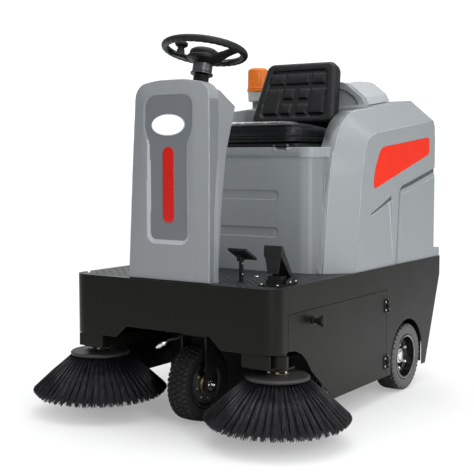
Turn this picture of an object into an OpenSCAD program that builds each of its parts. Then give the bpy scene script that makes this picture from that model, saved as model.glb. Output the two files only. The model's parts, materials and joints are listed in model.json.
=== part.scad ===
// Ride-on sweeper: three wheels, two side brushes, a main roller brush and a rear debris hopper.
// +Z is up, the machine's front faces -Y and its left side is +X. The origin lies on the floor
// under the centre of the overall bounding box.

/* [Chassis] */
// Width across the chassis side panels
chassis_w = 840; // [820:5:860]
// Height of the deck surface above the floor
deck_z = 507; // [505:1:509]
// Radius of the two vertical front corners
corner_r = 59; // [40:1:70]
// Thickness of the chassis sheet steel
sheet_t = 3; // [2:0.5:4]

/* [Wheels] */
// Outside diameter of all three tyres
tyre_d = 264; // [256:2:266]
// Number of lug nuts on each rear wheel
lug_count = 5; // [4:1:6]

/* [Brushes] */
// Sweep diameter of each side brush
brush_d = 480; // [440:10:490]
// Number of bristle tufts round each side brush
tuft_count = 34; // [24:2:40]
// Diameter over the bristles of the main roller brush
main_d = 280; // [260:5:284]

/* [Steering] */
// Diameter of the steering wheel at the middle of its rim
wheel_d = 274; // [260:2:290]
// Thickness of the steering wheel rim
rim_t = 26; // [22:1:28]
// Tilt of the steering column towards the driver
col_tilt = 13; // [12.5:0.5:13.5]

/* [Body] */
// Wall thickness of the moulded rear body
body_wall = 6; // [4:1:7]
// Wall thickness of the moulded steering console
console_wall = 5; // [4:1:6]

/* [Hidden] */
$fn = 48;
half_w = chassis_w / 2;
fit = 0.05;                 // radial clearance of a turning or pinned joint
y_back = 1329;              // rear face, measured from the chassis front face

// Axes along x are given as [y, z]; y runs back from the chassis front face.
tyre_r = tyre_d / 2;
axle_z = tyre_r;
rear_y = 1002;
rear_axle = [rear_y, axle_z];
wheel_x = half_w - 43.5;    // middle plane of the left rear wheel
main_axis = [640, 165];     // main brush
lift_axis = [455, 300];     // lift tube of the main brush
arm_axis = [395, 262];      // side brush arm pivots
brake_axis = [134, 465];
pedal_axis = [162, 525];    // accelerator pedal
latch_axis = [247, 380];
seat_hinge = [432, 957];
lid_hinge = [1228, 1157];

// Radii of shafts and pins
shaft_r = 12;               // steering shafts
fork_tube_r = 25;
stub_r = 15;                // rear stub axles
lift_r = 15;
arm_pin_r = 8;
brake_pin_r = 6;
pedal_pin_r = 5;
motor_shaft_r = 8;

// Vertical axes
fork_y = 180;               // steering axis of the front wheel
low_y = 39.3;               // lower steering shaft
brush_x = 375;              // left side brush
brush_y = 95;
fan_y = 1060;
hinge_x = half_w + 6;       // door hinge pins
hinge_y = 814;
hinge_levels = [143, 358];
beacon_x = -303;
beacon_y = 1044;

// Levels
plate_z = 499;              // underside of the deck plate
plate_t = 4;
console_z = 507;            // foot of the console and the steering column
body_z = 504;               // foot of the rear body
seat_z = 951;               // top of the seat pedestal

y_front = brush_y - brush_d / 2;
y_shift = -(y_front + y_back) / 2;

// Colours used by more than one node
sheet_grey = [0.235, 0.235, 0.22];
latch_black = [0.03, 0.03, 0.03];
shaft_grey = [0.35, 0.35, 0.36];
part_black = [0.05, 0.05, 0.05];
tyre_black = [0.07, 0.07, 0.07];
rim_grey = [0.3, 0.3, 0.32];
arm_grey = [0.2, 0.2, 0.185];
disc_grey = [0.16, 0.16, 0.165];
bristle_black = [0.07, 0.07, 0.08];

// ---- helpers ---------------------------------------------------------------
// Outlines whose names end in _side are [y, z], _front [x, z], _plan [x, y] and
// _turn [radius, height along the axis]. A third column is a corner radius.

// moves a part drawn from the chassis front face into the machine's own frame
module place() translate([0, y_shift, 0]) children();
// the children and their mirror image on the other side
module both() {
  children();
  mirror([1, 0, 0]) children();
}
// box between two opposite corners
module box(low, high) translate(low) cube(high - low);
// box centred on x = 0; low and high are [y, z]
module mid_box(half_x, low, high) box([-half_x, low[0], low[1]], [half_x, high[0], high[1]]);
// round bar along x; at is [y, z]
module rod_x(x0, x1, r, at)
  translate([x0, at[0], at[1]]) rotate([0, 90, 0]) cylinder(r = r, h = x1 - x0);
// coaxial cylinders; rows are [bottom z, radius, height]
module stack(rows) for (row = rows) translate([0, 0, row[0]]) cylinder(r = row[1], h = row[2]);
// a [y, z] outline extruded from x0 to x1
module side_plate(x0, x1, pts)
  translate([x0, 0, 0]) rotate([90, 0, 90]) linear_extrude(x1 - x0) polygon(pts);
// an [x, z] outline extruded from y0 to y1
module front_plate(y0, y1, pts)
  translate([0, y1, 0]) rotate([90, 0, 0]) linear_extrude(y1 - y0) polygon(pts);
// a 1 mm thick [x, z] section for hulls
module section(y, pts) front_plate(y, y + 1, pts);
// a turned solid, upright or with its axis along x
module turned(pts) rotate_extrude() polygon(pts);
module turned_x(pts, at) translate([0, at[0], at[1]]) rotate([0, 90, 0]) turned(pts);

// steering column frame: local z runs up the column
module column() translate([0, 46, console_z]) rotate([-col_tilt, 0, 0]) children();
// dash frame: local z is the normal of the console's sloping top
module dash() translate([0, 150, 1121]) rotate([-19.4, 0, 0]) children();
// console face frame: local z runs up the front face, local y points back
module face() translate([0, 14, console_z]) rotate([-2.15, 0, 0]) children();
// upright frame of the console's lower front
module console_low() translate([0, 9.5, console_z]) children();
// backrest frame: local z runs up the backrest, local y points back
module backrest() translate([0, 792, 1046]) rotate([-19.5, 0, 0]) children();

function unit(v) = v / norm(v);
// rounds every corner of a polygon with points [x, y, radius]
function round_poly(pts, steps = 6) = let (count = len(pts)) [for (i = [0 : count - 1])
  let (before = pts[(i + count - 1) % count],
       after = pts[(i + 1) % count],
       corner = [pts[i][0], pts[i][1]],
       radius = pts[i][2],
       to_before = unit([before[0], before[1]] - corner),
       to_after = unit([after[0], after[1]] - corner),
       half = acos(max(-1, min(1, to_before * to_after))) / 2,
       centre = corner + unit(to_before + to_after) * (radius / sin(half)),
       reach = radius / tan(half),
       first = corner + to_before * reach - centre,
       last = corner + to_after * reach - centre,
       start = atan2(first[1], first[0]),
       turn = atan2(last[1], last[0]) - start,
       sweep = turn > 180 ? turn - 360 : turn < -180 ? turn + 360 : turn)
  for (k = [0 : (radius > 0 ? steps : 0)])
    let (angle = start + sweep * k / steps)
    radius > 0 ? centre + radius * [cos(angle), sin(angle)] : corner];
function arc(x, y, r, from, to, steps = 8) = [for (k = [0 : steps])
  let (angle = from + (to - from) * k / steps) [x + r * cos(angle), y + r * sin(angle)]];
// closes the +x half of an outline with its mirror image
function mirrored(half) = concat(half, [for (i = [len(half) - 1 : -1 : 0])
  [for (k = [0 : len(half[i]) - 1]) k == 0 ? -half[i][0] : half[i][k]]]);

// ---- chassis ---------------------------------------------------------------
weld = 0.5;         // overlap of welded parts into the deck plate
beam_z = -60;       // underside of rails and cross members, from the plate
head_x = 165;       // half width over the long rails
bolt_r = 3;
bolt_places = [[-380, 44], [188, 265], [-120, 330], [-330, 380], [-30, 260]];
// [half width, front y, back y, underside from the plate]
cross_members = [
  [head_x, 80, 112, -34],
  [364, 416, 436.5, beam_z],
  [head_x, 290, 320, beam_z],
  [326, 830, 850, beam_z],
  [half_w - sheet_t - 0.5, 1312, 1318, beam_z]];
// z from the plate
axle_plate_side = [[850, weld], [850, -300], [930, -395], [1074, -395], [1150, -300], [1150, weld]];
door_side = [[87, 300], [133, 295], [174, 278], [205, 252], [238, 211], [396, 87],
  [812.8, 87], [812.8, 417], [87, 417]];

// left front corner, inset from the chassis outline
function corner(inset) = arc(half_w - corner_r, corner_r, corner_r - inset, 270, 360);
// hanging lug round y: shoulder and tip are levels from the plate
function lug_side(y, shoulder, tip) = [[y - 19, weld], [y - 19, shoulder], [y - 11, tip],
  [y + 11, tip], [y + 19, shoulder], [y + 19, weld]];
module bolt_holes(h) for (p = bolt_places) translate([p[0], p[1], 495]) cylinder(r = 3.2, h = h);
module pedal_slot(z0, z1) box([203, 96, z0], [217, 146, z1]);
// air opening between hopper and filter
module air_opening(z0, z1) mid_box(200, [920, z0], [1200, z1]);

// everything measured from the underside of the deck plate
module frame_weldment() {
  linear_extrude(plate_t) polygon(mirrored(concat(corner(3.2), [[half_w - 3.2, 1318]])));
  both() {
    // long rails under the deck
    box([125, 112, beam_z], [head_x, 1316, weld]);
    // inner plates that carry the rear stub axles
    side_plate(318, 326, axle_plate_side);
    // rear wall of the wheel well
    box([320, 1149, -409], [414, 1153, weld]);
    // hopper runners
    box([309.5, 852, -111], [319, 1148, -97.5]);
    // jacking pads under the wheel plates
    box([302, 930, -395], [326, 1074, -389]);
    // lugs of the side brush arms
    for (x = [280, 344]) side_plate(x, x + 6, lug_side(arm_axis[0], -240, -252));
    // lugs of the main brush lift tube
    side_plate(356, 364, lug_side(lift_axis[0], -203, -216));
    // webs between head plate and rails
    box([157, 112, -104], [head_x, 240, -50]);
  }
  for (m = cross_members) mid_box(m[0], [m[1], m[3]], [m[2], weld]);
  // head plate and the two steering bearing tubes
  mid_box(head_x, [10, -104], [240, -96]);
  translate([0, fork_y, -154]) cylinder(r = 36, h = 85);
  translate([0, low_y, -110]) cylinder(r = 20, h = 41);
  // brake pedal pivot lugs
  for (x = [196, 218]) box([x, 120, -46], [x + 5, 148, weld]);
}
module chassis_frame() color([0.10, 0.10, 0.10]) difference() {
  union() {
    translate([0, 0, plate_z]) frame_weldment();
    // rear stub axles and their flanges
    both() {
      rod_x(325, 390.5, stub_r, rear_axle);
      rod_x(325, 332, 38, rear_axle);
    }
    // steering column tube with its thicker ends
    column() stack([[-8, 20, 140], [-8, 13.9, 648], [490, 20, 150]]);
  }
  column() stack([[-20, 17.5, 24], [-1, shaft_r + fit, 700], [20, 16, 100], [505, 16, 115]]);
  translate([0, fork_y, 300]) cylinder(r = fork_tube_r + fit, h = 140);
  translate([0, low_y, 380]) cylinder(r = shaft_r + fit, h = 60);
  both() {
    rod_x(270, 355, arm_pin_r + fit, arm_axis);
    rod_x(350, 370, lift_r + fit, lift_axis);
  }
  rod_x(190, 229, brake_pin_r + fit, brake_axis);
  pedal_slot(495, 506);
  air_opening(490, 506);
  bolt_holes(12);
}

module front_panel() color([0.17, 0.17, 0.155]) difference() {
  edge_y = 84;
  foot_z = 297;
  translate([0, 0, foot_z]) linear_extrude(deck_z - 1 - foot_z) polygon(mirrored(concat(
    arc(half_w - corner_r, corner_r, corner_r, 270, 360, 12),
    [[half_w, edge_y], [half_w - sheet_t, edge_y]],
    arc(half_w - corner_r, corner_r, corner_r - sheet_t, 360, 270, 12))));
  // notch in the lower edge
  front_plate(-5, 20, mirrored([[219, 290], [219, 297.5], [173, 338]]));
}
module side_panels() color(sheet_grey) both() difference() {
  side_plate(half_w - sheet_t, half_w, [[85, 419], [815.6, 419], [815.6, 87], [1186, 76],
    [1325, 430], [1325, deck_z - 1], [85, deck_z - 1]]);
  // wheel arch
  rod_x(half_w - 10, half_w + 10, 150, rear_axle);
  box([half_w - 10, rear_y - 149.5, 60], [half_w + 10, rear_y + 149.5, axle_z]);
}
module door() union() {
  difference() {
    side_plate(half_w - sheet_t, half_w, door_side);
    rod_x(half_w - 20, half_w + 10, 6.1, latch_axis);
  }
  // folded stiffening flange along the top
  box([half_w - 16, 100, 411], [half_w - sheet_t + 0.5, 790, 414]);
  // moving hinge leaves, each with two knuckles
  for (z = hinge_levels) {
    box([half_w - 0.5, 792, z - 25], [half_w + 3, 808.7, z + 25]);
    for (dz = [-25, 9]) translate([hinge_x, hinge_y, z + dz]) difference() {
      union() {
        cylinder(r = 5, h = 16);
        translate([-6.2, -6, 0]) cube([6.2, 6, 16]);
      }
      translate([0, 0, -1]) cylinder(r = 2.55, h = 20);
    }
  }
}
module left_door() color(sheet_grey) door();
module right_door() color(sheet_grey) mirror([1, 0, 0]) door();
// fixed leaves with one middle knuckle each
module hinge_leaves() color([0.04, 0.04, 0.04]) both() for (z = hinge_levels) {
  box([half_w + 0.1, 819.3, z - 25], [half_w + 3, 836, z + 25]);
  translate([0, 0, z - 8]) difference() {
    union() {
      translate([hinge_x, hinge_y, 0]) cylinder(r = 5, h = 16);
      box([half_w + 0.6, hinge_y, 0], [hinge_x, 820, 16]);
    }
    translate([hinge_x, hinge_y, -1]) cylinder(r = 2.5, h = 18);
  }
}
module hinge_pins() color("silver") {
  both() for (z = hinge_levels) translate([hinge_x, hinge_y, z - 27]) cylinder(r = 2.47, h = 54);
  both() rod_x(150, 214, 2.97, seat_hinge);
  both() rod_x(110, 174, 2.97, lid_hinge);
  both() rod_x(276, 354, arm_pin_r, arm_axis);
  rod_x(192, 227, brake_pin_r, brake_axis);
}
module latch() union() {
  rod_x(half_w - 12, half_w + 30, 6, latch_axis);
  rod_x(half_w + 0.5, half_w + 4, 14, latch_axis);
  rod_x(half_w + 3, half_w + 26, 9, latch_axis);
  // faceted knob with a wing across its face
  rod_x(half_w + 23, half_w + 38, 15, latch_axis, $fn = 8);
  box([half_w + 30, 243, 362], [half_w + 40, 251, 398]);
  // cam behind the door
  box([half_w - 12, 241, 374], [half_w - 8, 253, 408]);
}
module left_door_latch() color(latch_black) latch();
module right_door_latch() color(latch_black) mirror([1, 0, 0]) latch();

// ---- deck ------------------------------------------------------------------
module deck_mat() color([0.12, 0.12, 0.13]) difference() {
  mat_z = plate_z + plate_t;
  edge_x = half_w - 4;
  translate([0, 0, mat_z]) linear_extrude(deck_z - mat_z) polygon(mirrored(concat(corner(4),
    [[edge_x, 200], [edge_x, 548], [334, 468], [312, 468], [300, 452], [250, 436]])));
  column() translate([0, 0, -20]) cylinder(r = 27, h = 40);
  pedal_slot(500, 510);
  bolt_holes(20);
}
module deck_bolts() color("silver") for (p = bolt_places) translate([p[0], p[1], 490]) {
  cylinder(r = bolt_r, h = 18);
  // domed head on the mat
  translate([0, 0, deck_z - 490])
    turned([[0, 0], [8, 0], [8, 1.2], [6.6, 3.2], [4, 4.6], [0, 5.2]]);
}

// ---- console ---------------------------------------------------------------
// front view of the console in the face frame
function console_front_pts(inset) = round_poly(mirrored([[168 - inset, 0.3, 0],
  [159 - inset, 407, 200], [151 - inset, 648 - inset, 52], [60, 664 - inset, 400]]), 7);
face_recess_front = mirrored([[76, 449, 0], [76, 455, 20], [96, 490, 30], [100, 616, 34]]);
low_recess_front = mirrored([[88, 122, 22], [81, 430, 0], [76, 452, 0]]);
rear_outer_side = [[67.6, deck_z + 0.2], [93, deck_z + 0.2], [129, 780], [163, 930],
  [240, 1085], [236, 1090], [94, 1140.6], [92, 1140.6]];
rear_inner_side = [[50, deck_z - 20], [88, deck_z - 20], [124, 780], [158, 930], [231, 1080],
  [96, 1134], [50, 1134]];
rear_outer_plan = mirrored([[156, 60], [143, 100], [128, 170], [113, 250]]);
rear_inner_plan = mirrored([[135, 40], [135, 96], [130, 120], [122, 170], [108, 244]]);
// switch places in the dash frame
direction_at = [-72, 12];
key_at = [72, 12];
stop_at = [72, -34];

module switch_holes(r)
  for (p = [direction_at, key_at, stop_at]) translate([p[0], p[1], -30]) cylinder(r = r, h = 60);
// front shell: the outline joined to a raised centre panel of half width half_x
module front_shell(inset, half_x, depth) hull() {
  set_back = inset * 1.8;
  face() front_plate(inset * 1.6 - 4, depth, console_front_pts(inset));
  face() front_plate(set_back - 21.4, set_back - 20,
    mirrored([[half_x, 450], [half_x, 598 - inset], [half_x - 16, 613 - inset]]));
  console_low() section(set_back, mirrored([[half_x + 2, 0.3 - inset], [half_x, 450]]));
}
module console_front() color([0.55, 0.57, 0.585]) difference() {
  front_shell(0, 104, 52);
  // hollow, open at the back and the bottom
  front_shell(console_wall, 97, 60);
  face() translate([-150, 14, -10]) cube([300, 60, 30]);
  // recesses in the upper and lower front face
  face() front_plate(-30, -16.4, round_poly(face_recess_front));
  console_low() front_plate(-10, 5, round_poly(low_recess_front));
  // flat bottom edge on the deck
  box([-200, -50, 400], [200, 200, deck_z + 0.2]);
}
// rear shell: the overlap of its side, plan and front views
module rear_shell(side, plan, inset) intersection() {
  side_plate(-170, 170, side);
  linear_extrude(1300) polygon(plan);
  face() front_plate(-10, 300, console_front_pts(inset));
}
module console_rear() color([0.50, 0.52, 0.54]) difference() {
  rear_shell(rear_outer_side, rear_outer_plan, 3);
  rear_shell(rear_inner_side, rear_inner_plan, 10);
  // set-back joint band between the two shells
  face() both() box([142, 40, -20], [210, 65, 700]);
  // column hole and switch holes in the sloping top
  column() translate([0, 0, 560]) cylinder(r = 33, h = 120);
  dash() switch_holes(13);
}
module badge_plate() color([0.93, 0.93, 0.93])
  face() translate([0, -16.5, 514]) rotate([90, 0, 0]) linear_extrude(3)
    polygon([for (i = [0 : 47]) [70 * cos(i * 7.5), 35 * sin(i * 7.5)]]);
module light_strip() color([0.80, 0.09, 0.08])
  console_low() translate([0, 4.9, 0]) rotate([90, 0, 0]) linear_extrude(4) {
    translate([-23, 215]) square([46, 205]);
    for (z = [215, 420]) translate([0, z]) circle(r = 23);
  }
module dash_panel() color([0.08, 0.08, 0.085]) difference() {
  dash() translate([0, 0, 1.0]) linear_extrude(3)
    polygon(round_poly(mirrored([[122, -57, 14], [102, 80, 14]])));
  column() translate([0, 0, 560]) cylinder(r = 34, h = 120);
  dash() switch_holes(11.1);
  // shallow rectangular recess
  dash() translate([-98, -50, 2.6]) cube([52, 32, 5]);
}
module key_switch() color("silver") dash() translate(key_at) {
  stack([[-24, 11, 29], [4.2, 13, 3]]);
  translate([-2, -12, 6]) cube([4, 24, 20]);
}
module direction_switch() color(part_black) dash() translate(direction_at) union() {
  rod_x(-7, 7, 8, [0, -2]);
  translate([-4, -4, -2]) cube([8, 8, 28]);
  translate([0, 0, 28]) sphere(r = 9);
}
module stop_button() color([0.75, 0.05, 0.04]) dash() translate(stop_at) {
  translate([0, 0, -20]) cylinder(r = 11, h = 34);
  translate([0, 0, 13]) turned([[0, 0], [19, 0], [20, 3], [18, 9], [12, 12], [0, 13]]);
}

// ---- steering --------------------------------------------------------------
spin_r = 104;            // distance of the spinner knob from the column axis
knob_turn = [[5.05, 0], [14, 0], [14, 5], [11, 8], [13, 14], [21, 19], [23.5, 24], [22, 31],
  [15, 35], [0, 36.5], [0, 26.2], [5.05, 26.2]];

// sleeve with ten ribs
module column_boot() color(part_black) column() turned(concat([[23, 606]],
  [for (i = [0 : 9]) let (z = 607 + i * 10)
    each [[27, z], [27, z + 3], [25.2, z + 6], [25.2, z + 8]]],
  [[25.2, 706], [23, 706]]));
module steering_shaft() color(shaft_grey) column() difference() {
  union() {
    stack([[-14, shaft_r, 775], [-14, 16, 10]]);
    // joint yoke at the lower end
    for (side = [-1, 1]) translate([side * 13 - 2, -7, -38]) cube([4, 14, 26]);
    // flared collar under the wheel hub
    translate([0, 0, 708]) turned([[10, 0], [39, 0], [39, 5], [34, 9], [34, 36], [10, 36]]);
  }
  rod_x(-20, 20, 6.5, [0, -29.8]);
}
// a spoke rises from the low hub to the rim
module spoke(angle) rotate([0, 0, angle]) hull() {
  translate([44, -24, 757]) cube([10, 48, 11]);
  translate([wheel_d / 2 - 12, -14, 785]) cube([9, 28, 9]);
}
module steering_wheel() color([0.05, 0.05, 0.055]) column() difference() {
  union() {
    translate([0, 0, 793.6]) rotate_extrude($fn = 96)
      translate([wheel_d / 2, 0]) circle(r = rim_t / 2, $fn = 24);
    for (angle = [0, 180, 90]) spoke(angle);
    // hub
    translate([0, 0, 745]) cylinder(r1 = 34, r2 = 48, h = 12);
    translate([0, 0, 756]) cylinder(r = 57, h = 14);
    // spinner stud on the right-hand spoke
    translate([-spin_r, 0, 0]) stack([[776, 14, 22], [797, 5, 27]]);
  }
  translate([0, 0, 700]) cylinder(r = 12.1, h = 70.1);
  translate([0, 0, 762]) cylinder(r = 50, h = 40);
}
module horn_button() color([0.07, 0.07, 0.075]) column() translate([0, 0, 765.5])
  turned([[0, 0], [49.5, 0], [49.5, 12], [46, 19], [36, 25], [20, 27.5], [0, 28]]);
module spinner_knob() color(latch_black)
  column() translate([-spin_r, 0, 798.5]) turned(knob_turn);
module lower_steering_shaft() color(shaft_grey) translate([0, low_y, 0]) {
  // shaft and its sprocket
  stack([[388, shaft_r, 74], [441, 26, 4]]);
  // joint yoke
  for (side = [-1, 1]) translate([-7, side * 12 - 2, 460]) cube([14, 4, 25]);
  // joint cross
  translate([-4, -4, 474]) cube([8, 8, 8]);
  translate([0, -13, 478]) rotate([-90, 0, 0]) cylinder(r = 3, h = 26);
  rod_x(-16, 16, 3, [0, 478]);
}
// loop round a large wheel at the origin and a small one at -y
function loop_plan(big_r, small_r, gap) = let (tilt = asin((big_r - small_r) / gap)) concat(
  arc(0, 0, big_r, -tilt, 180 + tilt, 24), arc(0, -gap, small_r, 180 + tilt, 360 - tilt, 14));
module steering_chain() color([0.25, 0.25, 0.25])
  translate([0, fork_y, 440.5]) linear_extrude(5) difference() {
    polygon(loop_plan(83.5, 31.5, fork_y - low_y));
    polygon(loop_plan(79.2, 27.2, fork_y - low_y));
  }
module fork() color([0.06, 0.06, 0.06]) translate([0, fork_y, 0]) union() {
  axle = [0, axle_z];
  // legs and crown
  both() difference() {
    box([47, -26, 104], [55, 26, 316]);
    rod_x(40, 60, 10, axle);
  }
  mid_box(55, [-32, 300], [32, 316]);
  stack([[315, 33, 27], [330, fork_tube_r, 112]]);
  // sprocket with six round openings
  difference() {
    translate([0, 0, 441]) cylinder(r = 78, h = 4);
    for (a = [0 : 60 : 300]) rotate([0, 0, a]) translate([50, 0, 430]) cylinder(r = 14, h = 20);
  }
  translate([0, 0, 440]) cylinder(r = 14, h = 16);
  // axle and its nuts
  rod_x(-64, 64, 10, axle);
  both() rod_x(54, 63, 17, axle, $fn = 6);
}

// ---- wheels ----------------------------------------------------------------
front_axle = [fork_y, axle_z];
hub_r = 84;              // bore of the front tyre
rim_r = 86;              // bore of the rear tyres
hub_turn = [[10.05, -42], [26, -42], [30, -36], [70, -34], [78, -38], [hub_r, -38],
  [hub_r, 38], [78, 38], [70, 34], [30, 36], [26, 42], [10.05, 42]];
rim_turn = [[stub_r + fit, -36], [30, -36], [34, -10], [66, -6], [76, -34], [rim_r, -38],
  [rim_r, 38], [78, 40], [72, 10], [64, 4], [36, 2], [30, 8], [29, 14], [25, 17], [0, 17],
  [0, 15], [stub_r + fit, 15]];
function tyre_turn(bore_r, width) = let (half = width / 2, middle_r = (bore_r + tyre_r) / 2) [
  [bore_r, -half + 8], [bore_r + 8, -half + 2], [middle_r, -half],
  [tyre_r - 12, -half + 3], [tyre_r - 3, -half + 12], [tyre_r, -half + 24],
  [tyre_r, half - 24], [tyre_r - 3, half - 12], [tyre_r - 12, half - 3],
  [middle_r, half], [bore_r + 8, half - 2], [bore_r, half - 8]];

module front_tyre() color([0.06, 0.06, 0.06]) turned_x(tyre_turn(hub_r, 85), front_axle);
module hub_motor() color([0.18, 0.18, 0.18]) turned_x(hub_turn, front_axle);
module rear_tyre() translate([wheel_x, 0, 0]) turned_x(tyre_turn(rim_r, 87), rear_axle);
module rear_rim() {
  translate([wheel_x, 0, 0]) turned_x(rim_turn, rear_axle);
  // lug nuts on the dished face
  for (i = [0 : lug_count - 1])
    translate([wheel_x + 3.8, rear_y, axle_z]) rotate([i * 360 / lug_count + 18, 0, 0])
      translate([0, 0, 50]) rotate([0, 90, 0]) cylinder(r = 9.5, h = 13, $fn = 6);
}
module left_tyre() color(tyre_black) rear_tyre();
module right_tyre() color(tyre_black) mirror([1, 0, 0]) rear_tyre();
module left_rim() color(rim_grey) rear_rim();
module right_rim() color(rim_grey) mirror([1, 0, 0]) rear_rim();

// ---- side brushes ----------------------------------------------------------
brush_r = brush_d / 2;
disc_turn = [[0, 210], [98, 208], [104, 210], [106, 216], [101, 221], [60, 227], [40, 228],
  [37, 229], [20, 231], [18, 236], [0, 236]];
bristle_turn = [[60, 208.4], [98, 207.8], [104, 209.8], [brush_r, 84], [brush_r - 3, 75],
  [brush_r - 20, 60], [brush_r - 50, 66]];

module brush_arm() {
  difference() {
    union() {
      // arm with its pivot barrel
      box([296, 70, 244], [332, arm_axis[0], 280]);
      rod_x(288, 342, 17, arm_axis);
      // motor plate
      box([292, 52, 238], [412, 140, 244]);
      // skirt: front, inner side and floor, with a tab down to the motor plate
      box([291, 12, 250], [398, 15, 294]);
      box([291, 12, 250], [294, 90, 294]);
      box([291, 12, 250], [398, 72, 253]);
      box([294, 60, 240], [300, 90, 252]);
    }
    rod_x(280, 350, arm_pin_r + fit, arm_axis);
    translate([brush_x, brush_y, 225]) cylinder(r = 20, h = 20);
  }
  // gear motor standing on the plate
  difference() {
    translate([brush_x, brush_y, 0]) stack([[244, 36, 38], [282, 30, 12]]);
    translate([brush_x, brush_y, 230]) cylinder(r = motor_shaft_r + fit, h = 40);
  }
}
module brush_disc() translate([brush_x, brush_y, 0]) union() {
  turned(disc_turn);
  translate([0, 0, 220]) cylinder(r = motor_shaft_r, h = 48);
  // ring of six hexagonal bolt heads
  for (a = [0 : 60 : 300])
    rotate([0, 0, a]) translate([30, 0, 226]) cylinder(r = 5, h = 11, $fn = 6);
}
module brush_bristles() translate([brush_x, brush_y, 0]) difference() {
  turned(bristle_turn, $fn = 72);
  // gaps between tufts at the tips
  for (i = [0 : tuft_count - 1])
    rotate([0, 0, i * 360 / tuft_count]) translate([brush_r - 8, -1.2, 50]) cube([20, 2.4, 60]);
}
module left_brush_arm() color(arm_grey) brush_arm();
module right_brush_arm() color(arm_grey) mirror([1, 0, 0]) brush_arm();
module left_brush_disc() color(disc_grey) brush_disc();
module right_brush_disc() color(disc_grey) mirror([1, 0, 0]) brush_disc();
module left_brush_bristles() color(bristle_black) brush_bristles();
module right_brush_bristles() color(bristle_black) mirror([1, 0, 0]) brush_bristles();

// ---- main brush ------------------------------------------------------------
core_r = 60;
core_turn = [[0, -24], [11.95, -24], [11.95, 0], [core_r, 0], [core_r, 662], [11.95, 662],
  [11.95, 686], [0, 686]];
lift_arm_side = [[440, 290], [440, 310], [452, 322], [475, 312], [655, 182], [662, 165],
  [655, 146], [630, 143], [620, 158]];
housing_axis = [632, 160];

module main_brush_core() color([0.5, 0.5, 0.5])
  translate([-331, 0, 0]) turned_x(core_turn, main_axis);
module main_brush_bristles() color([0.1, 0.1, 0.12]) difference() {
  rod_x(-325, 325, main_d / 2, main_axis);
  rod_x(-330, 330, core_r + 0.02, main_axis);
  // straight slots between eight bristle rows
  for (i = [0 : 7]) translate([0, main_axis[0], main_axis[1]])
    rotate([i * 45, 0, 0]) translate([-330, -5, 90]) cube([660, 10, 80]);
}
module main_brush_frame() color([0.09, 0.09, 0.09]) {
  difference() {
    union() {
      both() side_plate(340, 350, lift_arm_side);
      rod_x(-368, 368, lift_r, lift_axis);
    }
    rod_x(-352, 352, 12, main_axis);
  }
  // drive motor on the right arm
  difference() {
    rod_x(-405, -351, 42, main_axis);
    rod_x(-412, -340, 12.1, main_axis);
  }
}
module brush_housing() color([0.12, 0.12, 0.12]) union() {
  // thin curved cover, open below
  difference() {
    rod_x(-334, 334, 174, housing_axis);
    rod_x(-340, 340, 171, housing_axis);
    mid_box(340, [400, -50], [900, 215]);
  }
  // hangers up to the deck
  both() {
    box([250, 626, 331], [256, 664, 498.8]);
    box([236, 626, 495], [270, 664, 498.8]);
  }
}
module front_flap() color(part_black) difference() {
  mid_box(316, [436.6, 12], [439.4, 480]);
  // notches round the long rails
  both() box([124, 430, 438.4], [166, 446, 490]);
}

// ---- hopper and dust control -----------------------------------------------
module hopper() color([0.3, 0.31, 0.31]) {
  difference() {
    union() {
      side_plate(-300, 300, [[816, 96], [1180, 96], [1298, 428], [816, 428]]);
      // side flanges that rest on the runners
      both() box([299, 852, 402], [316, 1290, 406]);
    }
    side_plate(-296, 296, [[810, 112], [820, 100], [1177, 100], [1292, 424], [820, 424],
      [810, 330]]);
    // mouth towards the main brush
    mid_box(296, [800, 112], [830, 330]);
    air_opening(400, 440);
  }
  // pull handle on the rear face
  both() box([70, 1270, 372], [80, 1328, 384]);
  mid_box(80, [1316, 372], [1328, 384]);
}
module filter() color([0.85, 0.85, 0.8]) union() {
  difference() {
    mid_box(220, [900, 503.5], [1220, 575]);
    air_opening(490, 590);
  }
  // pleated element, 5 thick measured upright
  front_plate(918, 1202, concat(
    [for (i = [0 : 40]) [-201 + i * 10.05, i % 2 == 0 ? 512 : 560]],
    [for (i = [40 : -1 : 0]) [-201 + i * 10.05, i % 2 == 0 ? 517 : 565]]));
}
module fan_housing() color([0.16, 0.16, 0.16]) translate([0, fan_y, 0]) difference() {
  union() {
    // drum, side outlet and motor
    translate([0, 0, 580]) cylinder(r = 132, h = 92);
    box([60, -60, 580], [190, 125, 672]);
    translate([0, 0, 672]) cylinder(r = 52, h = 100);
    // support bridge over the filter
    mid_box(250, [-30, 575.6], [30, 580.6]);
    both() {
      box([238, -30, 503.3], [244, 30, 580.6]);
      box([238, -30, 503.3], [268, 30, 508]);
    }
  }
  translate([0, 0, 584]) cylinder(r = 127, h = 84);
  box([64, -56, 584], [200, 121, 668]);
  // inlet and motor shaft bore
  stack([[570, 56, 20], [660, motor_shaft_r + fit, 60]]);
}
module fan_impeller() color("silver") translate([0, fan_y, 0]) difference() {
  union() {
    translate([0, 0, 650]) cylinder(r = 110, h = 3);
    for (i = [0 : 11]) rotate([0, 0, i * 30]) translate([50, -1.5, 592]) cube([58, 3, 59]);
    stack([[625, 20, 30], [640, motor_shaft_r, 72]]);
  }
  translate([0, 0, 620]) cylinder(r = 5, h = 20);
}
// four blocks, each with a front notch and two terminals
module batteries() color([0.13, 0.14, 0.16]) both() for (y = [492, 672]) {
  difference() {
    box([6, y, 503.5], [262, y + 172, 720]);
    box([40, y - 5, 650], [228, y + 8, 690]);
  }
  for (x = [40, 228]) translate([x, y + 86, 720]) cylinder(r = 9, h = 14);
}

// ---- pedals ----------------------------------------------------------------
cheek_side = [[110, 508], [182, 508], [182, 520], [170, 536], [152, 536], [110, 520]];
foot_plate_side = [[154, 526], [162, 533], [99, 635], [91, 634], [88, 602], [92, 601], [96, 620]];
flange_side = [[158, 520], [166, 532], [99, 634], [90, 602]];

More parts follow.
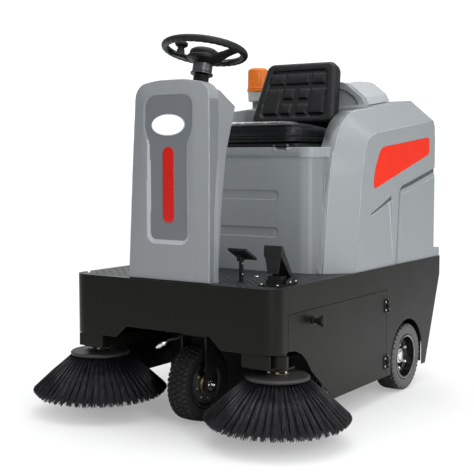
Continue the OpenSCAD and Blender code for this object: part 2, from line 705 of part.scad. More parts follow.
module pedal_bracket() color(part_black) difference() {
  union() {
    box([320, 62, 507.2], [397, 184, 511]);
    for (x = [320, 393]) side_plate(x, x + 4, cheek_side);
    // sensor box and front guard
    box([334, 100, 510], [384, 136, 536]);
    front_plate(86, 89, [[338, 510], [386, 510], [386, 522], [338, 522]]);
  }
  rod_x(300, 400, pedal_pin_r + fit, pedal_axis);
}
module accelerator_pedal() color(part_black) union() {
  rod_x(319, 398, pedal_pin_r, pedal_axis);
  rod_x(325, 392, 9, pedal_axis);
  // foot plate rising to the front, with side flanges and a turned-down front lip
  side_plate(326, 391, foot_plate_side);
  for (x = [326, 387]) side_plate(x, x + 4, flange_side);
  // front face below the lip
  front_plate(90, 93, [[340, 545], [378, 545], [389, 606], [328, 606]]);
}
module brake_pedal() color(part_black) union() {
  // post with its pivot boss
  difference() {
    union() {
      box([205, 128, 460], [215, 140, 588]);
      rod_x(205, 215, 12, brake_axis);
    }
    rod_x(195, 225, brake_pin_r + fit, brake_axis);
  }
  // ribbed pad
  translate([220, 126, 598]) rotate([-28, 0, 0]) {
    translate([-35, -38, -4]) cube([70, 76, 8]);
    for (i = [0 : 5]) translate([-33, -33 + i * 12, 3]) cube([66, 5, 3]);
  }
  box([203, 118, 575], [217, 146, 595]);
}

// ---- rear body -------------------------------------------------------------
arch_z = 1121.5;                // foot of the arch outline
seat_lugs = [150, 206];         // inner x of the hinge lugs, 8 wide
lid_lugs = [110, 166];
shoulder_side = [[472, body_z], [520, 838], [527, 882], [549, 939], [583, 1003], [617, 1042],
  [656, 1068], [705, 1084], [1213, 1145], [1236, 1130], [1258, 1060], [1262, body_z]];
flank_side = [[557, body_z], [606, 845], [630, 930], [650, 972], [677, 992], [727, 1005],
  [1250, 1063], [1264, 1040], [1269, 980], [1269, body_z]];
function arch_front(inset, z) = round_poly([[-252 + inset, z, 0], [252 - inset, z, 0],
  [236 - inset, z + 30, 24], [162, z + 90 - inset, 60], [0, z + 96 - inset, 0],
  [-162, z + 90 - inset, 60], [-236 + inset, z + 30, 24]]);
function insert_side(inset) = round_poly([[760 + inset, 952 - inset, 60],
  [1211 - inset, 996 - inset, 18], [1212 - inset, 928 + inset, 22],
  [700 + inset, 797 + inset * 1.5, 14], [703 + inset, 862, 150]]);

module body_slab(x, pts, inset) translate([x - 0.5, 0, 0])
  rotate([90, 0, 90]) linear_extrude(1) offset(delta = -inset) polygon(pts);
// hull over the shoulder lines and the flanks, lowered by drop
module body_hull(inset, drop) translate([0, 0, -drop]) hull() both() {
  body_slab(329.5 - inset * 0.4, shoulder_side, inset);
  body_slab(414.5 - inset, flank_side, inset);
}
module pedestal(inset)
  translate([0, 0, body_z - inset * 2]) linear_extrude(seat_z - body_z + inset)
    polygon(round_poly(mirrored([[312 - inset, 440 + inset, 62 - inset],
      [312 - inset, 800, 0]]), 8));
// space above the pedestal for the seat
module seat_recess(grow) translate([0, 0, seat_z - grow]) linear_extrude(400)
  polygon(mirrored([[276 + grow, 300], [276 + grow, 906 + grow]]));
module rear_body() color([0.62, 0.645, 0.655]) difference() {
  union() {
    body_hull(0, 0);
    pedestal(0);
    // lip round the top of the pedestal
    translate([0, 0, 916]) linear_extrude(35)
      polygon(round_poly(mirrored([[316, 436, 66], [316, 700, 0]]), 8));
    // rear step on the chassis
    mid_box(half_w - 5, [1240, body_z], [y_back, 541]);
    // fixed arch in front of the lid
    front_plate(948, 984, arch_front(0, arch_z));
    mid_box(252, [948, 1100], [984, 1122]);
    // foot of the beacon
    translate([beacon_x, beacon_y, 1105]) cylinder(r = 24, h = 47);
    both() for (x = seat_lugs) {
      box([x, 427, 940], [x + 8, 439.8, 961.5]);
      box([x, 427, 940], [x + 8, 446, 950.9]);
    }
    both() for (x = lid_lugs) box([x, 1216, 1130], [x + 8, 1234, 1163]);
  }
  // inside space, keeping a wall under the seat recess
  difference() {
    union() {
      body_hull(body_wall, body_wall + 2);
      pedestal(body_wall + 2);
    }
    seat_recess(body_wall);
  }
  seat_recess(0);
  // opening under the seat
  mid_box(232, [486, 900], [792, 960]);
  // opening under the lid
  mid_box(222, [1004, 1000], [1196, 1200]);
  // recess in the front of the arch
  front_plate(940, 958, arch_front(26, 1120));
  // two round-ended grooves across the pedestal front
  for (z = [628, 762])
    translate([0, 445, z + 19]) rotate([90, 0, 0]) linear_extrude(10) {
      square([300, 34], center = true);
      for (side = [-1, 1]) translate([side * 150, 0]) circle(r = 17);
    }
  both() rod_x(140, 220, 3.0, seat_hinge);
  both() rod_x(100, 180, 3.0, lid_hinge);
  // hollow rear step
  mid_box(half_w - 11, [1250, 490], [1323, 535]);
  // space for the seat hinge knuckles
  both() box([159, 424, 940], [205, 439.9, 970]);
  // pockets for the side inserts
  both() side_plate(half_w - 8, half_w + 3, insert_side(0));
}
module side_inserts() color([0.96, 0.22, 0.10])
  both() side_plate(half_w - 8, half_w - 4.4, insert_side(0.6));
module rear_lid() color([0.64, 0.66, 0.67]) difference() {
  union() {
    hull() {
      section(987.6, arch_front(0, arch_z));
      section(1120, arch_front(1, 1137));
      section(1198, arch_front(10, 1146.6));
      section(1212, mirrored([[220, 1148.2], [210, 1180], [150, 1215]]));
    }
    // hinge knuckles
    both() {
      rod_x(119, 165, 7, lid_hinge);
      box([119, 1205, 1150], [165, lid_hinge[0], 1164]);
    }
  }
  hull() {
    section(993, arch_front(5, 1116));
    section(1120, arch_front(6, 1132));
    section(1204, mirrored([[212, 1140], [204, 1177], [146, 1209]]));
  }
  both() rod_x(100, 180, 3.05, lid_hinge);
}

// ---- seat ------------------------------------------------------------------
pan_z = seat_z + 0.6;

module seat_pan() color([0.04, 0.04, 0.04]) difference() {
  union() {
    translate([0, 0, pan_z]) linear_extrude(12)
      polygon(round_poly(mirrored([[248, 441, 30], [248, 850, 30]])));
    // hinge knuckles
    both() {
      rod_x(159.5, 204.5, 4.4, seat_hinge);
      box([159.5, seat_hinge[0], 952.8], [204.5, 448, 961.3]);
    }
    // two uprights that carry the backrest
    both() backrest() translate([100, 62, -92]) cube([44, 7, 240]);
  }
  both() rod_x(140, 230, 3.05, seat_hinge);
  // nothing below the pan
  mid_box(400, [400, 900], [1000, pan_z]);
}
module seat_cushion() color([0.05, 0.05, 0.055]) translate([0, 0, 964.2]) linear_extrude(79)
  polygon(round_poly(mirrored([[250, 424, 55], [252, 786, 40]])));
module seat_backrest() color([0.06, 0.06, 0.065])
  backrest() front_plate(0.5, 60.5, round_poly(mirrored([[198, 4, 28], [163, 266, 26]])));

// ---- beacon ----------------------------------------------------------------
base_turn = [[0, 0], [36, 0], [42, 5], [46, 14], [47, 44], [50, 46], [50, 52], [0, 52]];
lens_turn = [[0, 0], [49, 0], [49, 6], [47, 8], [46, 80], [42, 90], [32, 95], [0, 97]];

module beacon_base() color([0.72, 0.73, 0.73])
  translate([beacon_x, beacon_y, 1152.2]) turned(base_turn);
module beacon_lens() color([1.0, 0.5, 0.08, 0.9])
  translate([beacon_x, beacon_y, 1204.4]) turned(lens_turn);

// ---- drawing ---------------------------------------------------------------
place() chassis_frame();
place() front_panel();
place() side_panels();
place() left_door();
place() right_door();
place() hinge_leaves();
place() hinge_pins();
place() left_door_latch();
place() right_door_latch();
place() deck_mat();
place() deck_bolts();
place() console_front();
place() console_rear();
place() badge_plate();
place() light_strip();
place() dash_panel();
place() key_switch();
place() direction_switch();
place() stop_button();
place() column_boot();
place() steering_shaft();
place() steering_wheel();
place() horn_button();
place() spinner_knob();
place() lower_steering_shaft();
place() steering_chain();
place() fork();
place() front_tyre();
place() hub_motor();
place() left_tyre();
place() left_rim();
place() right_tyre();
place() right_rim();
place() left_brush_arm();
place() left_brush_disc();
place() left_brush_bristles();
place() right_brush_arm();
place() right_brush_disc();
place() right_brush_bristles();
place() main_brush_core();
place() main_brush_bristles();
place() main_brush_frame();
place() brush_housing();
place() front_flap();
place() hopper();
place() filter();
place() fan_housing();
place() fan_impeller();
place() batteries();
place() accelerator_pedal();
place() pedal_bracket();
place() brake_pedal();
place() rear_body();
place() side_inserts();
place() rear_lid();
place() seat_pan();
place() seat_cushion();
place() seat_backrest();
place() beacon_base();
place() beacon_lens();
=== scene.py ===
"""Ride-on floor sweeper: detailed meshes, materials, studio and camera over its CAD pieces.

Lengths are in mm until to_metres() makes scene metres of them. y = 0 is the front face of the
chassis and y grows towards the rear, x grows towards the machine's left, z is up from the floor.
"""
import bpy
import bmesh
import json
import math
import numpy as np
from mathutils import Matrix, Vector
from mathutils.kdtree import KDTree


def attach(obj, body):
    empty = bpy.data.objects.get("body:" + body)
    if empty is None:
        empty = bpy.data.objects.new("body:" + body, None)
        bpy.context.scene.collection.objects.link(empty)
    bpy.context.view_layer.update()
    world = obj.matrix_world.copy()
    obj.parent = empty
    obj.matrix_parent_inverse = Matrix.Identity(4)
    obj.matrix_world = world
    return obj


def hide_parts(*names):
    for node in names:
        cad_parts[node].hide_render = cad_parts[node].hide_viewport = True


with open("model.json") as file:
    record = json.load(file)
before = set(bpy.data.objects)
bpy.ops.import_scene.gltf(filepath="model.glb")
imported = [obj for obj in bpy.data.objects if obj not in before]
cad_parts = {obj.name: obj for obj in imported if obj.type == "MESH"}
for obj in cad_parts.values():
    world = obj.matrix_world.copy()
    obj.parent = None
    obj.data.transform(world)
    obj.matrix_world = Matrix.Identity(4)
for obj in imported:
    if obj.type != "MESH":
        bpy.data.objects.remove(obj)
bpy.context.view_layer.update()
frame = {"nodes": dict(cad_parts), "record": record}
scene = bpy.context.scene
NODES = frame["nodes"]
SLOT_OF = {part["node"]: part["material_slot"] for part in frame["record"]["subparts"]}
SLOTS = {material["slot"] for material in frame["record"]["materials"]}

# ------------------------------------------------------------------ shared dimensions, mm
CHASSIS_SHIFT = -592.0          # y of the chassis front face in the scene
SIDES = (("left", 1), ("right", -1))
WHEEL_RADIUS = 132.0            # also the height of the axles, as the tyres touch the floor
FRONT_AXLE_Y = 180
REAR_AXLE_Y = 1002
REAR_WHEEL_X = 376.5
BRUSH_X, BRUSH_Y = 375, 95      # side brush axis
DECK_Z = 507                    # foot of the console and of the steering column
BODY_X = 415.0                  # flat side of the rear body


# ------------------------------------------------------------------ shader nodes
def add_node(tree, kind, inputs=(), **settings):
    """Shader node; inputs maps each socket to a value, or to an output to link."""
    node = tree.nodes.new("ShaderNode" + kind)
    for key, value in settings.items():
        setattr(node, key, value)
    for socket, value in dict(inputs).items():
        if isinstance(value, bpy.types.NodeSocket):
            tree.links.new(value, node.inputs[socket])
        else:
            node.inputs[socket].default_value = value
    return node


def map_range(tree, source, from_min, from_max, to_min, to_max, **settings):
    inputs = {0: source, 1: from_min, 2: from_max, 3: to_min, 4: to_max}
    return add_node(tree, "MapRange", inputs, **settings).outputs[0]


def math_node(tree, operation, first, second):
    return add_node(tree, "Math", {0: first, 1: second}, operation=operation).outputs[0]


def new_material(name):
    material = bpy.data.materials.new(name)
    material.use_nodes = True
    tree = material.node_tree
    tree.nodes.clear()
    output = add_node(tree, "OutputMaterial")
    shader = add_node(tree, "BsdfPrincipled")
    tree.links.new(shader.outputs[0], output.inputs[0])
    return material, tree, shader, output


def surface(name, base, rough=0.4, metal=0.0, spec=0.5, coat=0.0, coat_rough=0.1,
            drift=0.06, drift_scale=3.0, rough_drift=0.08, relief=(380.0, 0.06, 0.0004),
            bevel=0.0012, edge_wear_and_highlight=0.0, edge_wear_and_highlight_colour=None, dust=0.0, cells=None, bands=None,
            transmission=0.0, sheen=0.0, glow=0.0, subsurface=0.0):
    """Procedural surface; its lengths are in metres.

    drift, drift_scale, rough_drift: slow variation of colour, its scale, and of roughness
    relief, cells, bands: (scale, strength, depth) of fine noise, cell edges, waves along z
    bevel and the edge colour pair: radius of rounded edges, and how far the edges turn to a
    colour: edge wear, and on the grey shells a painted highlight
    dust: amount of dust near the floor
    """
    material, tree, shader, _ = new_material(name)
    position = add_node(tree, "TexCoord").outputs["Object"]

    def noise(scale, detail):
        inputs = {"Scale": scale, "Detail": detail, "Vector": position}
        return add_node(tree, "TexNoise", inputs).outputs[0]

    def mix(factor, first, second):
        colours = [(*c, 1) if isinstance(c, tuple) else c for c in (first, second)]
        inputs = {0: factor, 6: colours[0], 7: colours[1]}
        return add_node(tree, "Mix", inputs, data_type="RGBA").outputs[2]

    def bump(height, strength, distance, normal):
        inputs = {"Strength": strength, "Distance": distance, "Height": height}
        if normal is not None:
            inputs["Normal"] = normal
        return add_node(tree, "Bump", inputs).outputs[0]

    # colour
    darker = tuple(max(0.0, c * (1 - drift)) for c in base)
    lighter = tuple(min(1.0, c * (1 + drift)) for c in base)
    broad = noise(drift_scale, 4.0)
    colour = mix(map_range(tree, broad, 0.35, 0.65, 0, 1), darker, lighter)
    blotches = noise(drift_scale * 14, 3.0)
    colour = mix(map_range(tree, blotches, 0.45, 0.75, 0, drift * 1.2), colour,
                 tuple(c * 0.6 for c in base))
    grain = noise(relief[0], 2.0)
    normal = None
    if bevel > 0:
        normal = add_node(tree, "Bevel", {0: bevel}, samples=4).outputs[0]
        if edge_wear_and_highlight > 0:
            # edges turn to the edge colour where the rounded normal leaves the true one: edge
            # wear, and painted highlight along the edges
            true_normal = add_node(tree, "NewGeometry").outputs["Normal"]
            agreement = add_node(tree, "VectorMath", {0: normal, 1: true_normal},
                                 operation="DOT_PRODUCT").outputs["Value"]
            mask = map_range(tree, agreement, 0.99, 0.86, 0, edge_wear_and_highlight)
            breakup = map_range(tree, noise(60.0, 3.0), 0.3, 0.7, 0.45, 1.0)
            colour = mix(math_node(tree, "MULTIPLY", mask, breakup), colour,
                         edge_wear_and_highlight_colour or tuple(min(1.0, c * 1.7 + 0.04) for c in base))
    if dust > 0:
        height = add_node(tree, "SeparateXYZ", {0: position}).outputs[2]
        low = map_range(tree, height, 0.32, 0.0, 0, 1)
        patches = map_range(tree, noise(9.0, 5.0), 0.3, 0.75, 0.15 * dust, dust)
        colour = mix(math_node(tree, "MULTIPLY", low, patches), colour, (0.23, 0.22, 0.20))
    tree.links.new(colour, shader.inputs["Base Color"])
    roughness = map_range(tree, noise(drift_scale * 5, 5.0), 0.3, 0.7,
                          max(0.02, rough - rough_drift), min(1, rough + rough_drift))
    tree.links.new(roughness, shader.inputs["Roughness"])
    values = {"Metallic": metal, "Specular IOR Level": spec, "Coat Weight": coat,
              "Coat Roughness": coat_rough, "Transmission Weight": transmission}
    if sheen:
        values["Sheen Weight"] = sheen
    if subsurface:
        values["Subsurface Weight"] = subsurface
        values["Subsurface Radius"] = (0.01, 0.004, 0.002)
    # painted light: the colour also glows, lighting the part from within
    if glow:
        tree.links.new(colour, shader.inputs["Emission Color"])
        values["Emission Strength"] = glow
    for socket, value in values.items():
        shader.inputs[socket].default_value = value

    # relief
    normal = bump(grain, min(1.0, relief[1] * 4), relief[2], normal)
    if cells:
        edges = add_node(tree, "TexVoronoi", {"Scale": cells[0], "Vector": position},
                         feature="DISTANCE_TO_EDGE").outputs[0]
        normal = bump(map_range(tree, edges, 0, 0.12, 0, 1), cells[1], cells[2], normal)
    if bands:
        waves = add_node(tree, "TexWave", {"Scale": bands[0], "Vector": position},
                         bands_direction="Z").outputs[0]
        normal = bump(waves, bands[1], bands[2], normal)
    tree.links.new(normal, shader.inputs["Normal"])
    return material


# ------------------------------------------------------------------ materials
GRAIN = (520, 0.06, 0.0002)                                    # moulded plastic
SHELL = dict(coat_rough=0.25, relief=GRAIN, drift=0.02)        # lacquered grey shell
EVEN = dict(drift_scale=1.2, rough_drift=0.04)
# painted highlight: the grey shells' edges turn pale grey
BODY_EDGE_HIGHLIGHT = dict(edge_wear_and_highlight=0.9, edge_wear_and_highlight_colour=(0.62, 0.66, 0.68), bevel=0.004)
MATERIALS = {
    "chassis_paint": dict(
        base=(0.0066, 0.0070, 0.0047), rough=0.31, spec=0.15, relief=(900, 0.10, 0.0002),
        edge_wear_and_highlight=0.55, edge_wear_and_highlight_colour=(0.10, 0.10, 0.09), drift_scale=1.3, rough_drift=0.04,
        bevel=0.0016, dust=0.03),
    "frame_black": dict(
        base=(0.010, 0.010, 0.010), rough=0.45, spec=0.25, relief=(900, 0.12, 0.0003),
        edge_wear_and_highlight=0.35, edge_wear_and_highlight_colour=(0.06, 0.06, 0.06), dust=0.05),
    "body_grey": dict(
        **SHELL, **EVEN, **BODY_EDGE_HIGHLIGHT, base=(0.268, 0.290, 0.300), rough=0.36, spec=0.42,
        coat=0.12),
    # the pale edge colour is painted highlight along the console's edges
    "console_grey": dict(
        **SHELL, **EVEN, base=(0.250, 0.266, 0.278), rough=0.38, spec=0.4, coat=0.10,
        edge_wear_and_highlight=0.9, edge_wear_and_highlight_colour=(0.60, 0.63, 0.68), bevel=0.0026),
    # painted light: a lighter copy of the console grey, for the recess wall and the slope of the
    # rear body's wedge mark
    "console_painted_light": dict(
        **SHELL, **EVEN, base=(0.42, 0.44, 0.47), rough=0.36, spec=0.4, coat=0.10,
        bevel=0.0015),
    # darker grey: the lens bezel's own colour; on the console, painted shade on its side wall and
    # a darker recess floor
    "console_dark": dict(
        **EVEN, base=(0.160, 0.173, 0.188), rough=0.40, spec=0.35, relief=GRAIN, drift=0.03,
        bevel=0.0015),
    "black_plastic": dict(
        base=(0.0065, 0.0067, 0.0072), rough=0.40, spec=0.30, relief=(1400, 0.25, 0.0003),
        edge_wear_and_highlight=0.35, edge_wear_and_highlight_colour=(0.07, 0.07, 0.075)),
    "wheel_plastic": dict(
        base=(0.0050, 0.0053, 0.0060), rough=0.38, spec=0.32, relief=(1500, 0.25, 0.0004),
        bevel=0.002, cells=(900, 0.12, 0.0003)),
    "zinc": dict(
        base=(0.62, 0.62, 0.60), rough=0.30, metal=1.0, relief=(300, 0.10, 0.0002),
        drift=0.12, drift_scale=30, bevel=0.0008),
    "chrome": dict(
        base=(0.80, 0.80, 0.80), rough=0.12, metal=1.0, relief=(200, 0.04, 0.0001),
        drift=0.05, bevel=0.0008, rough_drift=0.05),
    "brass": dict(
        base=(0.55, 0.42, 0.22), rough=0.34, metal=1.0, relief=(300, 0.10, 0.0002),
        drift=0.2, drift_scale=30, bevel=0.0008),
    "steel_dark": dict(
        base=(0.12, 0.12, 0.125), rough=0.36, metal=1.0, relief=(500, 0.1, 0.0002),
        drift=0.15, drift_scale=20),
    "mat_rubber": dict(
        base=(0.010, 0.0108, 0.0145), rough=0.40, relief=(1200, 0.25, 0.0004), edge_wear_and_highlight=0.3,
        edge_wear_and_highlight_colour=(0.07, 0.07, 0.085), bevel=0.0007, drift=0.15, drift_scale=6),
    "rubber": dict(
        base=(0.007, 0.007, 0.0075), rough=0.5, spec=0.3, relief=(900, 0.25, 0.0005)),
    # painted light: the white badge glows
    "badge_white": dict(
        base=(0.93, 0.93, 0.93), rough=0.3, coat=0.3, coat_rough=0.06, drift=0.01,
        relief=(300, 0.02, 0.0001), bevel=0.001, glow=0.30),
    # painted light: the red lens glows faintly
    "red_lens": dict(
        base=(0.56, 0.008, 0.004), rough=0.30, spec=0.22, coat=0.10, coat_rough=0.15,
        drift=0.04, relief=(300, 0.03, 0.0002), glow=0.04, bands=(60, 0.05, 0.0004)),
    "red_button": dict(base=(0.55, 0.010, 0.006), rough=0.3, coat=0.4, drift=0.03),
    "tyre": dict(
        base=(0.0115, 0.012, 0.012), rough=0.6, spec=0.3, relief=(700, 0.35, 0.0006),
        edge_wear_and_highlight=0.3, edge_wear_and_highlight_colour=(0.05, 0.05, 0.05), bevel=0.001, drift=0.2, drift_scale=8,
        dust=0.05),
    "tyre_side": dict(
        base=(0.115, 0.114, 0.115), rough=0.62, spec=0.3, relief=(700, 0.35, 0.0006),
        edge_wear_and_highlight=0.3, edge_wear_and_highlight_colour=(0.2, 0.2, 0.2), bevel=0.001, drift=0.12, drift_scale=8),
    "rim": dict(
        base=(0.030, 0.028, 0.026), rough=0.22, metal=0.85, relief=(160, 0.08, 0.0002),
        drift=0.25, drift_scale=10, edge_wear_and_highlight=0.5, edge_wear_and_highlight_colour=(0.35, 0.34, 0.33), bevel=0.0016),
    "rim_lip": dict(
        base=(0.34, 0.335, 0.33), rough=0.22, metal=1.0, relief=(160, 0.08, 0.0002),
        drift=0.25, drift_scale=14, rough_drift=0.1, bevel=0.001),
    "brush_disc": dict(
        base=(0.026, 0.025, 0.024), rough=0.40, spec=0.4, relief=(800, 0.2, 0.0004),
        edge_wear_and_highlight=0.9, edge_wear_and_highlight_colour=(0.11, 0.11, 0.12), bevel=0.004),
    "bristles": dict(
        base=(0.0125, 0.012, 0.0155), rough=0.36, relief=(60, 0.05, 0.0002), drift=0.65,
        drift_scale=60, bevel=0, rough_drift=0.15),
    "roller_bristles": dict(
        base=(0.030, 0.030, 0.040), rough=0.45, drift=0.5, drift_scale=45, bevel=0),
    "hopper_paint": dict(
        base=(0.10, 0.105, 0.105), rough=0.45, relief=(900, 0.12, 0.0003), edge_wear_and_highlight=0.4,
        dust=0.25),
    "filter_paper": dict(
        base=(0.62, 0.59, 0.50), rough=0.9, relief=(900, 0.5, 0.0006), drift=0.1,
        drift_scale=20, sheen=0.2),
    "aluminium": dict(
        base=(0.60, 0.60, 0.61), rough=0.42, metal=1.0, relief=(600, 0.2, 0.0003),
        drift=0.1, drift_scale=15),
    "battery_case": dict(
        base=(0.03, 0.033, 0.045), rough=0.5, relief=(900, 0.25, 0.0004), edge_wear_and_highlight=0.3,
        edge_wear_and_highlight_colour=(0.12, 0.12, 0.14)),
    # painted light: the orange panel glows faintly
    "orange_panel": dict(
        base=(0.76, 0.018, 0.0), rough=0.36, spec=0.18, drift=0.02,
        relief=(400, 0.05, 0.0002), edge_wear_and_highlight=0.2, edge_wear_and_highlight_colour=(0.95, 0.2, 0.1), bevel=0.0015,
        glow=0.05),
    "seat_vinyl": dict(
        base=(0.0030, 0.0033, 0.0042), rough=0.30, spec=0.34, coat=0.04, coat_rough=0.2,
        relief=(1500, 0.25, 0.0003), cells=(520, 0.18, 0.0003), drift=0.1, drift_scale=8,
        bevel=0),
    "beacon_grey": dict(
        base=(0.50, 0.51, 0.51), rough=0.4, relief=(600, 0.1, 0.0003), drift=0.04),
    # painted light: the amber dome glows faintly
    "amber": dict(
        base=(0.72, 0.165, 0.006), rough=0.30, spec=0.3, coat=0.2, coat_rough=0.12,
        transmission=0.08, glow=0.05, subsurface=0.1, drift=0.10, drift_scale=12,
        bevel=0.001),
    "cable": dict(base=(0.01, 0.01, 0.011), rough=0.5, relief=(700, 0.2, 0.0004)),
    # painted shade: dark grey in the floors of the seams and marks cut into the rear body
    "groove_painted_shade": dict(
        base=(0.075, 0.082, 0.088), rough=0.45, spec=0.25, relief=GRAIN, drift=0.03, bevel=0),
    # painted shade: darker copies of the body grey for the front band of the side and the
    # pedestal's corners
    "body_painted_shade": dict(
        **SHELL, **BODY_EDGE_HIGHLIGHT, base=(0.200, 0.217, 0.225), rough=0.38, spec=0.40, coat=0.10),
    "body_painted_half_shade": dict(
        **SHELL, **BODY_EDGE_HIGHLIGHT, base=(0.236, 0.255, 0.264), rough=0.37, spec=0.41, coat=0.11),
    # painted highlight: pale grey for the strips along the shell's creases
    "bead_grey": dict(
        base=(0.42, 0.46, 0.48), rough=0.35, spec=0.4, relief=GRAIN, drift=0.03, bevel=0),
    # the pale edge colour is painted highlight along the lid's edges
    "lid_grey": dict(
        **SHELL, base=(0.41, 0.43, 0.445), rough=0.36, spec=0.42, coat=0.12, edge_wear_and_highlight=0.8,
        edge_wear_and_highlight_colour=(0.68, 0.71, 0.73), bevel=0.003),
    "badge_rim": dict(base=(0.42, 0.45, 0.50), rough=0.3, drift=0.02, bevel=0),
}
M = {name: surface(name, **values) for name, values in MATERIALS.items()}

# materials of the CAD pieces
NODE_MATERIAL = {**SLOT_OF, "hinge_pins": "zinc", "key_switch": "zinc", "deck_bolts": "chrome",
                 "rear_lid": "lid_grey"}
for name, node in NODES.items():
    node.data.materials.clear()
    node.data.materials.append(M[NODE_MATERIAL[name]])
    node.data.shade_smooth()
    node.data.set_sharp_from_angle(angle=math.radians(28))


# ------------------------------------------------------------------ objects
def to_metres(points):
    points = np.asarray(points, float).reshape(-1, 3)
    return (points + [0, CHASSIS_SHIFT, 0]) / 1000.0


def to_mm(point):
    """Scene point back in mm from the chassis front face."""
    return point.x * 1000, point.y * 1000 - CHASSIS_SHIFT, point.z * 1000


def make_object(name, data):
    item = bpy.data.objects.new(name, data)
    scene.collection.objects.link(item)
    return item


def tidy(mesh, merge=None):
    """Merge close vertices if asked, and turn all faces outwards."""
    bm = bmesh.new()
    bm.from_mesh(mesh)
    if merge:
        bmesh.ops.remove_doubles(bm, verts=bm.verts, dist=merge)
    bmesh.ops.recalc_face_normals(bm, faces=bm.faces)
    bm.to_mesh(mesh)
    bm.free()


def build_mesh(name, points, faces, merge=None):
    mesh = bpy.data.meshes.new(name)
    mesh.from_pydata([tuple(p) for p in to_metres(points)], [],
                     [tuple(int(i) for i in face) for face in faces])
    tidy(mesh, merge)
    return mesh


def piece(name, shape, body, material, replaces=(), slot=None, angle=35, modifiers=()):
    """Finished object from shape = (points, faces); edges sharper than angle stay sharp."""
    mesh = build_mesh(name, *shape, merge=1e-7)
    mesh.shade_smooth()
    if angle < 180:
        mesh.set_sharp_from_angle(angle=math.radians(angle))
    item = make_object(name, mesh)
    mesh.materials.append(M[material])
    for kind, settings in modifiers:
        modifier = item.modifiers.new(kind.lower(), kind)
        for key, value in settings.items():
            setattr(modifier, key, value)
    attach(item, body)
    if replaces:
        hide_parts(*replaces)
    slot = slot or material
    if slot not in SLOTS:
        slot = SLOT_OF[replaces[0]] if replaces else "zinc"
    return item


# ------------------------------------------------------------------ shapes, as (points, faces)
class Shapes:
    """Gathers several shapes into one."""
    def __init__(self):
        self.points = []
        self.faces = []
        self.count = 0

    def add(self, points, faces):
        points = np.asarray(points, float).reshape(-1, 3)
        self.points.append(points)
        self.faces += [tuple(i + self.count for i in face) for face in faces]
        self.count += len(points)

    def joined(self):
        return np.concatenate(self.points), self.faces


def skin(rings, cap_first=True, cap_last=True, wrap=False):
    """Skin through rings of equal length; wrap joins the last ring to the first."""
    count = len(rings[0])
    faces = []
    for k in range(len(rings) if wrap else len(rings) - 1):
        near = k * count
        far = (k + 1) % len(rings) * count
        for i in range(count):
            j = (i + 1) % count
            faces.append((near + i, near + j, far + j, far + i))
    if cap_first:
        faces.append(tuple(range(count - 1, -1, -1)))
    if cap_last:
        faces.append(tuple((len(rings) - 1) * count + i for i in range(count)))
    return np.concatenate([np.asarray(ring, float) for ring in rings]), faces


def lathe(profile, count, place, closed=False):
    """Turn a profile of (radius, height) round local z; place maps it to the machine."""
    turns = [2 * math.pi * i / count for i in range(count)]
    rings = [[(r * math.cos(a), r * math.sin(a), z) for a in turns] for r, z in profile]
    points, faces = skin(rings, not closed and profile[0][0] > 1e-6,
                         not closed and profile[-1][0] > 1e-6, wrap=closed)
    return place(points), faces


def ring_round(centre, tangent, radius, count):
    """Circle of points square to a tangent that isn't vertical."""
    tangent = tangent / np.linalg.norm(tangent)
    across = np.cross(tangent, [0, 0, 1.0])
    across /= np.linalg.norm(across)
    other = np.cross(tangent, across)
    return [centre + radius * (math.cos(a) * across + math.sin(a) * other)
            for a in np.linspace(0, 2 * math.pi, count, endpoint=False)]


def tube(path, radius, count):
    path = np.asarray(path, float)
    last = len(path) - 1
    return skin([ring_round(path[i], path[min(i + 1, last)] - path[max(i - 1, 0)], radius, count)
                 for i in range(len(path))])


def loop_tube(path, radius, count=8):
    rings = [ring_round(path[i], path[(i + 1) % len(path)] - path[i - 1], radius, count)
             for i in range(len(path))]
    return skin(rings + rings[:1], False, False)


def curve_through(points, steps):
    """Catmull-Rom curve."""
    P = np.asarray(points, float)
    P = np.vstack([2 * P[0] - P[1], P, 2 * P[-1] - P[-2]])
    path = []
    for i in range(1, len(P) - 2):
        for t in np.linspace(0, 1, steps, endpoint=False):
            a, b, c, d = P[i - 1], P[i], P[i + 1], P[i + 2]
            path.append(0.5 * (2 * b + (c - a) * t + (2 * a - 5 * b + 4 * c - d) * t * t
                               + (3 * b - a - 3 * c + d) * t ** 3))
    path.append(P[-2])
    return np.array(path)


def round_poly(corners, steps=8):
    """Polygon of (x, y, corner radius) with its corners rounded."""
    outline = []
    for i, corner in enumerate(corners):
        point = np.array(corner[:2], float)
        radius = corner[2]
        if radius <= 0:
            outline.append(point)
            continue
        before = np.array(corners[i - 1][:2], float) - point
        after = np.array(corners[(i + 1) % len(corners)][:2], float) - point
        before /= np.linalg.norm(before)
        after /= np.linalg.norm(after)
        half = math.acos(max(-1, min(1, float(before @ after)))) / 2
        bisector = (before + after) / np.linalg.norm(before + after)
        centre = point + bisector * (radius / math.sin(half))
        setback = radius / math.tan(half)
        start = point + before * setback - centre
        end = point + after * setback - centre
        angle = math.atan2(start[1], start[0])
        sweep = math.atan2(end[1], end[0]) - angle
        if sweep > math.pi:
            sweep -= 2 * math.pi
        if sweep < -math.pi:
            sweep += 2 * math.pi
        for k in range(steps + 1):
            t = angle + sweep * k / steps
            outline.append(centre + radius * np.array([math.cos(t), math.sin(t)]))
    return np.array(outline)


